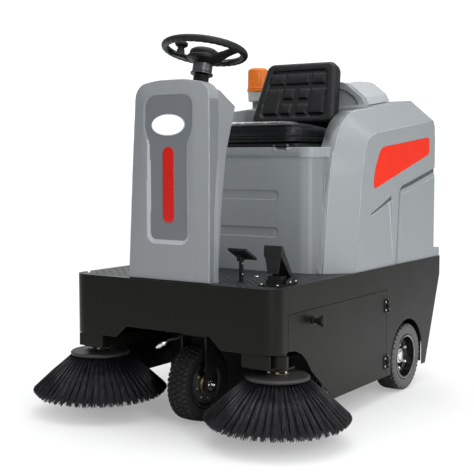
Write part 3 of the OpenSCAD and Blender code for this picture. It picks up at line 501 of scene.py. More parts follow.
def poly_distance(points, outline):
    """Signed distance to a polygon, negative inside."""
    P = np.asarray(points, float)
    starts = np.asarray(outline, float)
    best = np.full(len(P), 1e18)
    inside = np.zeros(len(P), bool)
    for a, b in zip(starts, np.roll(starts, -1, 0)):
        edge = b - a
        offset = P - a
        t = np.clip((offset @ edge) / max(1e-12, edge @ edge), 0, 1)
        gap = offset - t[:, None] * edge
        best = np.minimum(best, (gap * gap).sum(1))
        spans = (a[1] > P[:, 1]) != (b[1] > P[:, 1])
        with np.errstate(divide="ignore", invalid="ignore"):
            crossing = (b[0] - a[0]) * (P[:, 1] - a[1]) / (b[1] - a[1] + 1e-30) + a[0]
        inside ^= spans & (P[:, 0] < crossing)
    distance = np.sqrt(best)
    return np.where(inside, -distance, distance)


def box_distance(points, cx, cz, half_x, half_z, radius):
    """Signed distance to a rounded box, negative inside."""
    q = np.abs(points - [cx, cz]) - [half_x - radius, half_z - radius]
    return np.linalg.norm(np.maximum(q, 0), axis=1) + np.minimum(q.max(1), 0) - radius


def smooth(low, high, value):
    t = np.clip((value - low) / (high - low), 0, 1)
    return t * t * (3 - 2 * t)


def height_face(outline, step, height):
    """Grid face inside an (x, z) outline; height(points, distance) gives its local y.

    Returns points, faces and the loop of point numbers along the rim.
    """
    low, high = outline.min(0) - step, outline.max(0) + step
    xs, zs = (np.linspace(low[k], high[k], int(round((high[k] - low[k]) / step)) + 1)
              for k in (0, 1))
    X, Z = np.meshgrid(xs, zs)
    P = np.stack([X.ravel(), Z.ravel()], 1)
    columns = len(xs)
    # a cell stays when its centre lies inside
    centres = np.stack([(X[:-1, :-1] + X[1:, 1:]) / 2, (Z[:-1, :-1] + Z[1:, 1:]) / 2], -1)
    cells = []
    for k, distance in enumerate(poly_distance(centres.reshape(-1, 2), outline)):
        if distance < 0:
            i, j = divmod(k, columns - 1)
            corner = i * columns + j
            cells.append((corner, corner + 1, corner + columns + 1, corner + columns))
    cell_count = np.zeros(len(P), int)
    for cell in cells:
        for i in cell:
            cell_count[i] += 1
    used = cell_count > 0
    edge = used & (cell_count < 4)
    # rim points slide onto the outline, down the gradient of the distance
    eps = 0.05
    for _ in range(4):
        Q = P[edge]
        gradient = np.stack(
            [(poly_distance(Q + shift, outline) - poly_distance(Q - shift, outline)) / (2 * eps)
             for shift in (np.array([eps, 0]), np.array([0, eps]))], 1)
        gradient /= np.maximum(1e-6, np.linalg.norm(gradient, axis=1))[:, None]
        P[edge] = Q - gradient * poly_distance(Q, outline)[:, None]
    distance = poly_distance(P, outline)
    distance[edge] = 0
    points = np.stack([P[:, 0], height(P, distance), P[:, 1]], 1)[used]
    number = -np.ones(len(P), int)
    number[used] = np.arange(used.sum())
    faces = [tuple(number[i] for i in cell) for cell in cells]
    # edges without an opposite twin form the rim
    rim = {}
    for face in faces:
        for a, b in zip(face, face[1:] + face[:1]):
            if (b, a) in rim:
                del rim[(b, a)]
            else:
                rim[(a, b)] = 1
    following = {a: b for a, b in rim}
    loop = [next(iter(following))]
    current = following[loop[0]]
    while current != loop[0]:
        loop.append(current)
        current = following[current]
    return points, faces, loop


def close_rim(points, faces, loop, rings):
    """Skin from the rim of a face through further rings and cap the last."""
    count = len(loop)
    near = loop
    total = len(points)
    faces = list(faces)
    for _ in rings:
        far = range(total, total + count)
        for i in range(count):
            j = (i + 1) % count
            faces.append((near[j], near[i], far[i], far[j]))
        near = far
        total += count
    faces.append(tuple(near))
    return np.concatenate([points, *rings]), faces


def hex_nut(place, radius, height):
    """Chamfered hexagon with a rounded bolt end, from local z = 0 up."""
    def hexagon(r, z):
        return np.array([(r * math.cos(2 * math.pi * i / 6), r * math.sin(2 * math.pi * i / 6), z)
                         for i in range(6)])
    points, faces = skin([hexagon(radius, 0), hexagon(radius, height * 0.82),
                          hexagon(radius * (1 - 0.12), height)])
    nut = Shapes()
    nut.add(place(points), faces)
    nut.add(*lathe([(radius * 0.52, height - 0.5), (radius * 0.52, height + radius * 0.25),
                    (radius * 0.42, height + radius * 0.42), (0.001, height + radius * 0.5)],
                   16, place))
    return nut.joined()


def bolt_dome(place, radius, height):
    return lathe([(radius, 0), (radius, height * 0.25), (radius * 0.82, height * 0.65),
                  (radius * 0.5, height * 0.92), (0.001, height)], 18, place)


def bolt_set(name, places, radius, height, body, material="zinc"):
    """One piece made of equal domed bolts."""
    bolts = Shapes()
    for place in places:
        bolts.add(*bolt_dome(place, radius, height))
    piece(name, bolts.joined(), body, material, slot="zinc")


# ------------------------------------------------------------------ local frames
def local_frame(origin, x_axis, y_axis, z_axis):
    origin = np.array(origin, float)
    axes = np.stack([np.array(axis, float) for axis in (x_axis, y_axis, z_axis)])
    return lambda points: np.asarray(points, float).reshape(-1, 3) @ axes + origin


def leaning(origin, degrees):
    """Upright frame whose top leans to the rear."""
    angle = math.radians(degrees)
    c, s = math.cos(angle), math.sin(angle)
    return local_frame(origin, (1, 0, 0), (0, c, -s), (0, s, c))


def upright(x, y, z):
    return local_frame((x, y, z), (1, 0, 0), (0, 1, 0), (0, 0, 1))


def sideways(x, y, z, side=1):
    """Local z points to the left, or to the right with side = -1."""
    return local_frame((x, y, z), (0, side, 0), (0, 0, 1), (side, 0, 0))


def forwards(x, y, z):
    """Local z points to the front."""
    return local_frame((x, y, z), (1, 0, 0), (0, 0, 1), (0, -1, 0))


on_column = leaning((0, 46, DECK_Z), 13)
on_console = leaning((0, 14, DECK_Z), 2.15)
on_strip = upright(0, 9.5, DECK_Z)
on_backrest = leaning((0, 792, 1046), 19.5)

# ------------------------------------------------------------------ console
# outlines of (x, z, corner radius) in the console frame
CONSOLE_OUTLINE = round_poly([
    (-168, 0.4, 0), (168, 0.4, 0), (159, 407, 200), (151, 648, 52), (60, 664, 400),
    (-60, 664, 400), (-151, 648, 52), (-159, 407, 200)], 12)
RECESS = round_poly([
    (-88, 120.6, 34), (88, 120.6, 34), (84.5, 430, 60), (84, 456, 60), (100, 500, 60),
    (100, 616, 44), (-100, 616, 44), (-100, 500, 60), (-84, 456, 60), (-84.5, 430, 60)], 12)
CENTRE_PANEL = round_poly([(-106, -40, 0), (106, -40, 0), (104, 612, 30), (-104, 612, 30)], 8)
CONSOLE_STEP = 2.4
CONSOLE_BACK = 52.0
WALL_TOP_Z = 600                # the painted shade on the side wall ends here
LIGHT_TOP_Z = 468               # the painted light on the recess wall ends here


def recess_shape(P):
    """Distance inside the recess edge, its depth and the width of its sloped wall."""
    z = P[:, 1]
    return (-poly_distance(P, RECESS),
            np.interp(z, [120, 380, 470, 560, 630], [8.5, 7.5, 5.0, 4.2, 3.0]),
            np.interp(z, [120, 150, 380, 480, 560, 630], [17, 12.5, 11, 6, 5, 4]))


def console_height(P, distance):
    z = P[:, 1]
    inward = -distance
    from_panel = poly_distance(P, CENTRE_PANEL)
    outside = np.maximum(0, from_panel)
    t = outside / np.maximum(outside + np.maximum(inward, 0), 1e-6)
    panel_y = np.where(z < 450, -4.5 - 16.9 * z / 450.0, -21.4)
    y = panel_y + (-4.0 - panel_y) * t
    y = y + 0.9 * np.clip(1 - np.abs(from_panel) / 5.0, 0, 1)       # softened crease
    y = y + 2.4 * np.clip(1 - inward / 2.4, 0, 1) ** 2              # outer edge
    inside, depth, width = recess_shape(P)
    return y + depth * np.clip(inside / width, 0, 1)


def wall_depth(z):
    """Where the visible side wall ends."""
    return np.interp(z, [0, 238, 314, 433, 580, 664], [20, 24, 31, 47, 50, 50])


def console_shell():
    front, front_faces, loop = height_face(CONSOLE_OUTLINE, CONSOLE_STEP, console_height)
    rim = front[loop].copy()

    def side_ring(inset, depth):
        ring = rim.copy()
        z = ring[:, 2]
        ring[:, 0] *= 1 - inset / 160.0
        ring[:, 2] = np.where(z > 560, z - inset * smooth(560, 664, z), z)
        ring[:, 1] = depth(ring[:, 2]) if callable(depth) else depth
        return ring

    points, faces = close_rim(front, front_faces, loop, [
        side_ring(0.0, wall_depth), side_ring(1.6, lambda z: wall_depth(z) + 0.6),
        side_ring(2.2, CONSOLE_BACK), side_ring(6.5, CONSOLE_BACK), side_ring(6.5, 8.0)])
    # darker: painted shade on the first band of the side wall, and a darker recess floor;
    # lighter: painted light on the recess wall
    dark = [len(front_faces) + i for i in range(len(loop))
            if max(rim[i][2], rim[(i + 1) % len(loop)][2]) < WALL_TOP_Z]
    centres = np.array([front[list(face)][:, [0, 2]].mean(0) for face in front_faces])
    inside, _, width = recess_shape(centres)
    dark += list(np.where(inside > width - 0.8)[0])
    light = list(np.where((inside > 0.4) & (inside <= width - 0.8)
                          & (centres[:, 1] < LIGHT_TOP_Z))[0])

    placed = on_console(points)
    shell = piece("console_front_shell", (placed, faces), "machine", "console_grey",
                  replaces=("console_front",), angle=32)
    shell.data.materials.append(M["console_dark"])
    shell.data.materials.append(M["console_painted_light"])
    # faces are found again by their centres
    scene_points = to_metres(placed)
    marked = dark + light
    tree = KDTree(len(marked))
    for i, k in enumerate(marked):
        tree.insert(scene_points[list(faces[k])].mean(0), i)
    tree.balance()
    for polygon in shell.data.polygons:
        corners = [shell.data.vertices[i].co for i in polygon.vertices]
        _, index, distance = tree.find(sum(corners, Vector()) / len(corners))
        if distance < 2e-5:
            polygon.material_index = 1 if index < len(dark) else 2


console_shell()

# oval badge, its bezel, and the upright lens strip with its bezel
BADGE_Y, BADGE_Z = -22.3, 514
BADGE_RINGS = [  # half width, half height, y from BADGE_Y
    (66.5, 33.5, 6.2), (66.5, 33.5, 3.4), (65.8, 32.8, 2.5), (64, 31, 2.0), (45, 21, 1.7),
    (15, 7, 1.6)]
BADGE_BEZEL_RINGS = [(66.2, 33.2, 6.0), (69.2, 36.2, 6.0), (69.2, 36.2, 3.6), (66.2, 33.2, 2.9)]
STRIP_RADIUS, STRIP_LOW_Z, STRIP_HIGH_Z = 23, 215, 420
STRIP_RINGS = [(0, 9), (0, 5.2), (1.0, 4.3), (3, 3.6), (9, 3.2), (16, 3.1)]     # inset, y
STRIP_BEZEL_RINGS = [(-0.4, 8.5), (-2.4, 8.5), (-2.2, 6.9), (-0.6, 6.2)]


def ellipse_ring(half_width, half_height, y):
    t = np.linspace(0, 2 * math.pi, 96, endpoint=False)
    return np.stack([half_width * np.cos(t), np.full(96, BADGE_Y + y),
                     BADGE_Z + half_height * np.sin(t)], 1)


def capsule_ring(inset, y):
    radius = STRIP_RADIUS - inset
    return np.array([(radius * math.cos(a), y, z + radius * math.sin(a))
                     for z, start in ((STRIP_HIGH_Z, 0), (STRIP_LOW_Z, math.pi))
                     for a in np.linspace(start, start + math.pi, 20)])


def ring_piece(name, place, ring, rows, material, caps=True, **options):
    points, faces = skin([ring(*row) for row in rows], caps, caps)
    piece(name, (place(points), faces), "machine", material, angle=60, **options)


ring_piece("badge_blank", on_console, ellipse_ring, BADGE_RINGS, "badge_white",
           replaces=("badge_plate",))
ring_piece("badge_bezel", on_console, ellipse_ring, BADGE_BEZEL_RINGS, "badge_rim", caps=False,
           slot="badge_white")
ring_piece("light_strip_lens", on_strip, capsule_ring, STRIP_RINGS, "red_lens",
           replaces=("light_strip",))
ring_piece("light_strip_bezel", on_strip, capsule_ring, STRIP_BEZEL_RINGS, "console_dark",
           caps=False, slot="console_grey")

# ------------------------------------------------------------------ deck mat
MAT_X = 416.0                   # half width
MAT_CORNER = 55
MAT_CORNER_Y = 59
MAT_REAR = [(416, 200), (416, 548), (334, 468), (312, 468), (300, 452), (250, 436), (-250, 436),
            (-300, 452), (-312, 468), (-334, 468)]
LOZENGE_PITCH = 17.0
LOZENGE = [(-9.0, 0), (-4.5, 2.6), (4.5, 2.6), (9.0, 0), (4.5, -2.6), (-4.5, -2.6)]
MAT_CLEAR = [  # x, y, radius kept free of lozenges
    (0, 46, 48), (210, 121, 26), (-380, 44, 12), (188, 265, 12), (-120, 330, 12),
    (-330, 380, 12), (-30, 260, 12)]
CONSOLE_CLEAR = (176, 112)      # |x| and y kept free for the console


def mat_outline():
    points = [(-416, 548), (-416, 200)]
    for side, start in ((-1, math.pi), (1, 1.5 * math.pi)):
        for a in np.linspace(start, start + 0.5 * math.pi, 12):
            points.append((side * (MAT_X - MAT_CORNER) + MAT_CORNER * math.cos(a),
                           MAT_CORNER_Y + MAT_CORNER * math.sin(a)))
    return np.array(points + MAT_REAR, float)


def at_height(outline, z):
    return np.c_[outline, np.full(len(outline), z)]


def deck_mat():
    outline = mat_outline()
    inward = outline.mean(0) - outline
    inner = outline + inward / np.linalg.norm(inward, axis=1)[:, None] * 0.8
    mat = Shapes()
    mat.add(*skin([at_height(outline, 503.2), at_height(outline, 505.5),
                   at_height(inner, 506.0)]))
    for iy in range(33):
        for ix in range(-26, 27):
            x = ix * LOZENGE_PITCH
            y = 12 + iy * LOZENGE_PITCH
            if any(math.hypot(x - cx, y - cy) < radius for cx, cy, radius in MAT_CLEAR):
                continue
            if abs(x) < CONSOLE_CLEAR[0] and y < CONSOLE_CLEAR[1]:
                continue
            angle = math.radians(45 if (ix + iy) % 2 == 0 else -45)
            along = np.array([math.cos(angle), math.sin(angle)])
            across = np.array([-along[1], along[0]])
            foot = np.array([[x, y] + s * along + t * across for s, t in LOZENGE])
            if (poly_distance(foot, outline) > -3).any():
                continue
            top = np.array([[x, y] + s * 0.72 * along + t * 0.5 * across for s, t in LOZENGE])
            mat.add(*skin([at_height(foot, 505.9), at_height(top, 507.1)], cap_first=False))
    piece("deck_tread_mat", mat.joined(), "machine", "mat_rubber", replaces=("deck_mat",),
          angle=25)


deck_mat()

# ------------------------------------------------------------------ tyres
TYRE_ANGLES = 384


def block_gap(phase, start):
    """1 in the gap between tread blocks, 0 on a block."""
    phase = phase % 1.0
    return 1 - smooth(start, 0.20, np.minimum(phase, 1 - phase))


def groove(radii, radius, depth, distance, inner, outer):
    return np.minimum(radii, radius - depth * (1 - smooth(inner, outer, distance)))


def front_tread(radii, radius, t, angles, blocks):
    """Two rows of blocks a side; t runs from -1 to 1 across the tyre."""
    row = 1 if abs(t) > 0.46 else 0
    stagger = 0.5 if (row + (t > 0)) % 2 else 0.0
    phase = angles * blocks / (2 * math.pi) + stagger + abs(t) * 0.55
    radii = radii - 7.0 * block_gap(phase, 0.13)
    for centre in (0.0, 0.46, -0.46):
        zigzag = centre + 0.05 * np.sign(np.sin(angles * blocks))
        radii = groove(radii, radius, 6.5, np.abs(t - zigzag), 0.045, 0.08)
    return radii


def rear_tread(radii, radius, t, angles, blocks):
    """Ribs between zigzag grooves, with notched shoulders."""
    turns = angles * blocks / (2 * math.pi)
    if abs(t) > 0.60:
        gap = block_gap(turns + (0.5 if t > 0 else 0.0), 0.12)
        radii = radii - 6.0 * gap * smooth(0.60, 0.68, abs(t))
    for centre in (0.0, 0.36, -0.36):
        zigzag = centre + 0.07 * (np.abs(turns % 1.0 - 0.5) * 4 - 1)
        radii = groove(radii, radius, 5.0, np.abs(t - zigzag), 0.03, 0.07)
    return radii


def tyre(name, body, node, centre, bead, width, front=False, side=1):
    half = width / 2
    middle = (bead + WHEEL_RADIUS) / 2
    # (radius, x) from the bead over the side wall, across the tread and back
    wall = [(bead, half - 9), (bead + 2.5, half - 4.5), (bead + 7, half - 2.2),
            (bead + 9, half - 2.6), (bead + 10.5, half - 1.2), (middle - 3, half - 0.3),
            (middle + 3, half), (WHEEL_RADIUS - 17, half - 1.0)]
    rows = 36 if front else 30
    tread = []
    for x in np.linspace(half - 2.0, -(half - 2.0), rows):
        t = abs(x) / half
        tread.append((WHEEL_RADIUS - 2.2 * t ** 2 - 10.5 * max(0, (t - 0.78) / 0.22) ** 2.2, x))
    profile = wall + tread + [(r, -x) for r, x in wall[::-1]]
    blocks = 42 if front else 40
    cut_tread = front_tread if front else rear_tread
    angles = np.linspace(0, 2 * math.pi, TYRE_ANGLES, endpoint=False)
    grid = np.zeros((len(profile), TYRE_ANGLES, 3))
    for k, (radius, x) in enumerate(profile):
        radii = np.full(TYRE_ANGLES, float(radius))
        xs = np.full(TYRE_ANGLES, float(x))
        if len(wall) <= k < len(wall) + rows:
            radii = cut_tread(radii, radius, x / half, angles, blocks)
        elif k in (len(wall) - 1, len(wall) + rows):
            # the gaps run out over the shoulders
            phase = (angles * blocks / (2 * math.pi) + (0.5 if x > 0 else 0.0)
                     + (0.5 if front else 0))
            xs = xs - np.sign(x) * 2.0 * block_gap(phase, 0.12)
        grid[k, :, 0] = centre[0] + side * xs
        grid[k, :, 1] = centre[1] + radii * np.cos(angles)
        grid[k, :, 2] = centre[2] + radii * np.sin(angles)
    grid[..., 2] = np.maximum(grid[..., 2], 0.2)        # the tread rests on the floor
    item = piece(name, skin(list(grid), False, False, wrap=True), body, "tyre",
                 replaces=(node,), angle=40)
    if not front:
        item.data.materials.append(M["tyre_side"])
        for polygon in item.data.polygons:
            _, y, z = to_mm(polygon.center)
            radius = math.hypot(y - centre[1], z - centre[2])
            if abs(polygon.normal.x) > 0.55 and radius < WHEEL_RADIUS - 4:
                polygon.material_index = 1


tyre("front_tyre_tread", "front_wheel", "front_tyre", (0, FRONT_AXLE_Y, WHEEL_RADIUS),
     bead=84.5, width=85, front=True)
for name, side in SIDES:
    tyre(name + "_tyre_tread", name + "_wheel", name + "_tyre",
         (side * REAR_WHEEL_X, REAR_AXLE_Y, WHEEL_RADIUS), bead=86.5, width=87, side=side)

# ------------------------------------------------------------------ wheel fittings
LUG_CIRCLE = 50
HUB_CAP = [(31, -8), (31.5, 8), (31, 13), (29.5, 15.6), (26, 17.6), (23, 17.8), (21.5, 16.4),
           (19, 15.8), (17, 18.6), (11, 19.6), (0.001, 19.8)]
RIM_LIP = [(74.5, 20), (77.5, 33), (80, 39.6), (83, 41.2), (86, 40.4), (86.4, 36), (86.2, 28),
           (82, 20)]


def rear_wheel_fittings(name, side):
    nuts = Shapes()
    for i in range(5):
        a = math.radians(i * 72 + 18)
        nuts.add(*hex_nut(sideways(side * 380.4, REAR_AXLE_Y - LUG_CIRCLE * math.sin(a),
                                   WHEEL_RADIUS + LUG_CIRCLE * math.cos(a), side), 10.2, 14.5))
    piece(name + "_lug_nuts", nuts.joined(), name + "_wheel", "chrome", slot="zinc")
    hub = sideways(side * REAR_WHEEL_X, REAR_AXLE_Y, WHEEL_RADIUS, side)
    piece(name + "_hub_cap", lathe(HUB_CAP, 64, hub), name + "_wheel", "chrome", slot="zinc")
    piece(name + "_rim_lip", lathe(RIM_LIP, 96, hub, closed=True), name + "_wheel", "rim_lip",
          slot="rim")


def front_wheel_fittings():
    nuts = Shapes()
    bolts = Shapes()
    for side in (1, -1):
        def on_axle(x, y=0.0, z=0.0):
            return sideways(side * x, FRONT_AXLE_Y + y, WHEEL_RADIUS + z, side)
        nuts.add(*hex_nut(on_axle(55.3), 16.5, 8.5))
        nuts.add(*lathe([(21, 0), (21, 2.2), (20, 2.8), (17, 2.9)], 32, on_axle(55.05)))
        for i in range(8):
            a = math.radians(i * 45 + 10)
            bolts.add(*bolt_dome(on_axle(34.3, 52 * math.cos(a), 52 * math.sin(a)), 5, 4.5))
        bolts.add(*lathe([(36, 0), (36, 3), (34, 5), (24, 7.4), (23.9, 0)], 48, on_axle(35.2),
                         closed=True))
    piece("front_axle_nuts", nuts.joined(), "fork", "chrome", slot="zinc")
    piece("front_motor_bolts", bolts.joined(), "front_wheel", "brass", slot="zinc")


for name, side in SIDES:
    rear_wheel_fittings(name, side)
front_wheel_fittings()

# ------------------------------------------------------------------ brushes
TUFT_ROWS = [  # root radius, root z, tufts, bristles a tuft, tip radius, tip z, turned by
    (99, 207.6, 54, 40, 238, 83, 0.0), (93, 207.2, 54, 22, 231, 73, 0.5),
    (84, 207.6, 46, 14, 222, 64, 0.0), (72, 207.8, 36, 8, 208, 62, 0.0)]
BRUSH_INNER = [(66, 207.6), (94, 206.8), (219, 84), (213, 74), (198, 70), (150, 104), (62, 204)]
ROLLER_Y, ROLLER_Z = 640, 165
ROLLER_ROOT, ROLLER_TIP = 61, 138       # radii of the bristle ends
ROLLER_HALF = 322                       # half length
BRUSH_COLLAR = [(9, 226), (38, 228.2), (38.4, 229.6), (36, 230.4), (20, 231.4), (18.4, 236.6),
                (9.2, 236.8)]


def bristle(shapes, root, middle, tip, root_radius, tip_radius):
    """Three triangles of points along a slightly bowed line."""
    line = [np.array(point, float) for point in (root, middle, tip)]
    along = line[2] - line[0]
    along /= np.linalg.norm(along)
    u = np.cross(along, [0.31, 0.2, 0.93])
    u /= np.linalg.norm(u)
    w = np.cross(along, u)
    rings = []
    for k, centre in enumerate(line):
        radius = root_radius + (tip_radius - root_radius) * k / 2
        rings.append([centre + radius * (math.cos(a) * u + math.sin(a) * w)
                      for a in (0, 2.0944, 4.18879)])
    shapes.add(*skin(rings))


def side_brush(side_name, side, seed):
    cx = side * BRUSH_X
    hair = Shapes()
    draw = np.random.RandomState(seed)
    for root_r, root_z, tufts, count, tip_r, tip_z, turned in TUFT_ROWS:
        for i in range(tufts):
            tuft = 2 * math.pi * (i + draw.uniform(-0.07, 0.07) + turned) / tufts
            for _ in range(count):
                spread = float(np.clip(draw.normal(0, 0.26), -0.5, 0.5))
                spread = spread * (2 * math.pi / tufts) * 0.62
                r0 = root_r + draw.uniform(-3.5, 3.5)
                a0 = tuft + spread * 0.30
                a1 = tuft + spread * 1.05 + draw.normal(0, 0.004)
                r1 = tip_r + draw.uniform(-3.4, 2.2)
                z1 = tip_z + draw.uniform(-4.0, 3.0)
                root = (cx + r0 * math.cos(a0), BRUSH_Y + r0 * math.sin(a0), root_z)
                tip = (cx + r1 * math.cos(a1), BRUSH_Y + r1 * math.sin(a1), z1)
                bow = np.array([0, 0, draw.uniform(1.0, 3.4)])
                bristle(hair, root, (np.array(root) + tip) / 2 + bow, tip, 1.25, 0.95)
    brush = side_name + "_brush"
    piece(brush + "_hair", hair.joined(), brush, "bristles", replaces=(brush + "_bristles",),
          angle=180)
    # closed skirt behind the hair
    piece(brush + "_hair_inner", lathe(BRUSH_INNER, 72, upright(cx, BRUSH_Y, 0), closed=True),
          brush, "bristles", angle=60)


def main_brush():
    hair = Shapes()
    draw = np.random.RandomState(5)
    for row in range(8):
        for k in range(300):
            x = -ROLLER_HALF + 2 * ROLLER_HALF * (k + draw.uniform(-0.4, 0.4)) / 300
            x = max(-323, min(323, x))
            # the rows sweep back on both sides of the middle
            a = math.radians(row * 45 + 22.5 + 50 * abs(x) / ROLLER_HALF
                             + draw.uniform(-4.5, 4.5))
            tip_a = a + draw.uniform(-0.03, 0.03)
            root = (x, ROLLER_Y + ROLLER_ROOT * math.cos(a), ROLLER_Z + ROLLER_ROOT * math.sin(a))
            length = ROLLER_TIP + draw.uniform(-3, 1.5)
            tip = (x + draw.uniform(-2, 2), ROLLER_Y + length * math.cos(tip_a),
                   ROLLER_Z + length * math.sin(tip_a))
            bristle(hair, root, (np.array(root) + tip) / 2, tip, 1.9, 1.5)
    piece("main_brush_hair", hair.joined(), "main_brush", "roller_bristles",
          replaces=("main_brush_bristles",), angle=180)


def brush_hub(side_name, side):
    bolts = Shapes()
    for i in range(6):
        a = math.radians(i * 60)
        bolts.add(*hex_nut(upright(side * BRUSH_X + side * 30 * math.cos(a),
                                   BRUSH_Y + 30 * math.sin(a), 228.2), 6.2, 6.4))
    brush = side_name + "_brush"
    piece(brush + "_bolts", bolts.joined(), brush, "zinc", slot="zinc")
    piece(brush + "_collar", lathe(BRUSH_COLLAR, 40, upright(side * BRUSH_X, BRUSH_Y, 0)),
          brush, "brass", slot="zinc")


side_brush("left", 1, seed=11)
side_brush("right", -1, seed=12)
main_brush()
for name, side in SIDES:
    brush_hub(name, side)

# ------------------------------------------------------------------ steering, in the column frame
WHEEL_RING = 137                # radius of the grip's centre line
GRIP_RADIUS = 13.0
GRIP_Z = 793.6
GRIP_TURNS, GRIP_ROUND = 160, 28
SPOKE = [  # distance out, half width, centre z, half height
    (52.5, 26.5, 764.5, 8.4), (58, 25.5, 766, 8.4), (72, 22, 771, 7.2), (92, 18, 777.5, 6.6),
    (112, 16.5, 784, 6.8), (124, 17.5, 788.5, 7.6), (133, 20, 792, 8.4)]
WHEEL_HUB = [
    (12.2, 745), (33, 745), (36, 746.5), (48, 755), (56.5, 758.5), (58.2, 762), (58.2, 768),
    (56.6, 770.6), (54.6, 771.6), (52.0, 771.4), (50.6, 768.5), (50.4, 761.9), (12.2, 761.9)]
SPINNER_SEAT = [(15.5, 776), (15.5, 793), (14, 797.6), (5.02, 797.6), (5.02, 823.5),
                (0.001, 823.9)]
SPINNER_X = -104
HORN = [(0.001, 765.6), (48.6, 765.6), (49.2, 768), (49.5, 773), (50.8, 780), (50.2, 786),
        (47.4, 791.6), (41, 796.4), (29, 799.4), (12, 800.4), (0.001, 800.5)]
BOOT_Z, BOOT_RIBS, BOOT_PITCH = 607, 14, 7
BOOT_RIB = [(24.6, 0), (27.0, 1.75), (27.3, 3.5), (27.0, 5.2), (24.6, BOOT_PITCH)]


def grip():
    points = []
    for i in range(GRIP_TURNS):
        a = 2 * math.pi * i / GRIP_TURNS
        for k in range(GRIP_ROUND):
            b = 2 * math.pi * k / GRIP_ROUND
            # shallow scallops on the underside
            r = GRIP_RADIUS - 0.55 * max(0.0, -math.sin(b)) * math.cos(a * 36)
            out = WHEEL_RING + r * math.cos(b)
            points.append((out * math.cos(a), out * math.sin(a), GRIP_Z + r * 0.98 * math.sin(b)))
    faces = []
    for i in range(GRIP_TURNS):
        near = i * GRIP_ROUND
        far = (i + 1) % GRIP_TURNS * GRIP_ROUND
        for k in range(GRIP_ROUND):
            j = (k + 1) % GRIP_ROUND
            faces.append((near + k, far + k, far + j, near + j))
    return on_column(np.array(points)), faces


def spoke(degrees):
    sections = []
    for out, w, z, h in SPOKE:
        radius = min(w, h) * 0.5
        q = round_poly([(-w, -h, radius), (w, -h, radius), (w, h, radius), (-w, h, radius)], 5)
        sections.append(np.c_[np.full(len(q), out), q[:, 0], q[:, 1] + z])
    points, faces = skin(sections)
    c, s = math.cos(math.radians(degrees)), math.sin(math.radians(degrees))
    return on_column(points @ np.array([[c, s, 0], [-s, c, 0], [0, 0, 1]])), faces


wheel = Shapes()
wheel.add(*grip())
for degrees in (0, 90, 180):
    wheel.add(*spoke(degrees))
wheel.add(*lathe(WHEEL_HUB, 96, on_column, closed=True))
wheel.add(*lathe(SPINNER_SEAT, 32, lambda points: on_column(points + [SPINNER_X, 0, 0])))
piece("steering_wheel_grip", wheel.joined(), "steering", "wheel_plastic",
      replaces=("steering_wheel",), angle=45)
piece("horn_dome", lathe(HORN, 96, on_column), "horn", "wheel_plastic",
      replaces=("horn_button",), angle=60)
boot = [(r, BOOT_Z + i * BOOT_PITCH + z) for i in range(BOOT_RIBS) for r, z in BOOT_RIB]
piece("column_boot_ribs", lathe(boot + [(23.2, 706), (23.2, 606.5)], 56, on_column, closed=True),
      "machine", "rubber", replaces=("column_boot",), angle=60)

# ------------------------------------------------------------------ beacon
BEACON_X, BEACON_Y = -303, 1044
BEACON_LENS_Z, BEACON_FOOT_Z = 1204.4, 1152.2
BEACON_DOME = [(44, 0.2), (45.2, 1.5), (45.2, 6), (43.6, 8), (43.2, 12), (42.6, 76), (41, 83),
               (36, 88), (28, 91), (12, 92), (0.5, 92.2)]
BEACON_RING = [(44.6, 41), (46.4, 43), (46.4, 50.4), (45.4, 52.2), (44.0, 52.2), (44.0, 41)]
BEACON_FOOT = [(0.001, 0.1), (39, 0.1), (40.5, 1.6), (41.4, 8), (42.6, 40), (43.6, 42),
               (43.6, 51), (0.001, 51.4)]


def beacon_dome():
    rings = []
    for radius, z in BEACON_DOME:
        ring = []
        for i in range(120):
            a = 2 * math.pi * i / 120
            # upright flutes between foot and shoulder
            r = radius - (0.55 * abs(math.sin(a * 15)) if 10 < z < 80 else 0)
            ring.append((r * math.cos(a), r * math.sin(a), z))
        rings.append(ring)
    points, faces = skin(rings)
    return upright(BEACON_X, BEACON_Y, BEACON_LENS_Z)(points), faces


on_foot = upright(BEACON_X, BEACON_Y, BEACON_FOOT_Z)
piece("beacon_dome", beacon_dome(), "machine", "amber", replaces=("beacon_lens",), angle=50)
piece("beacon_ring", lathe(BEACON_RING, 80, on_foot, closed=True), "machine", "amber", angle=50)
piece("beacon_foot", lathe(BEACON_FOOT, 72, on_foot), "machine", "beacon_grey",
      replaces=("beacon_base",), angle=40)

# ------------------------------------------------------------------ seat backrest
# outlines of (x, z, corner radius) in the backrest frame
BACKREST = round_poly([(-188, 4, 30), (188, 4, 30), (155, 266, 34), (-155, 266, 34)], 12)
BACK_SHELL = round_poly([(-184, 7, 28), (184, 7, 28), (152, 263, 32), (-152, 263, 32)], 12)
BACK_EDGE = 17.0                # radius of the rounded edge
INSET = 9.5                     # depth of the inset panel
PADS = [  # centre x, centre z, half width, half height
    (-104, 195, 33, 22), (-2, 195, 57, 22), (101, 195, 33, 22), (-104, 99, 31, 53),
    (104, 99, 31, 53), (-35, 131, 21, 21), (35, 131, 21, 21), (-35, 67, 21, 21),
    (35, 67, 21, 21)]
BACK_SHELL_RINGS = [  # inset, y
    (2.5, 49.5), (2.5, 52), (-0.5, 53), (0, 63), (3, 68), (9, 70.5), (30, 70.6), (33, 67.5),
    (110, 67.3)]


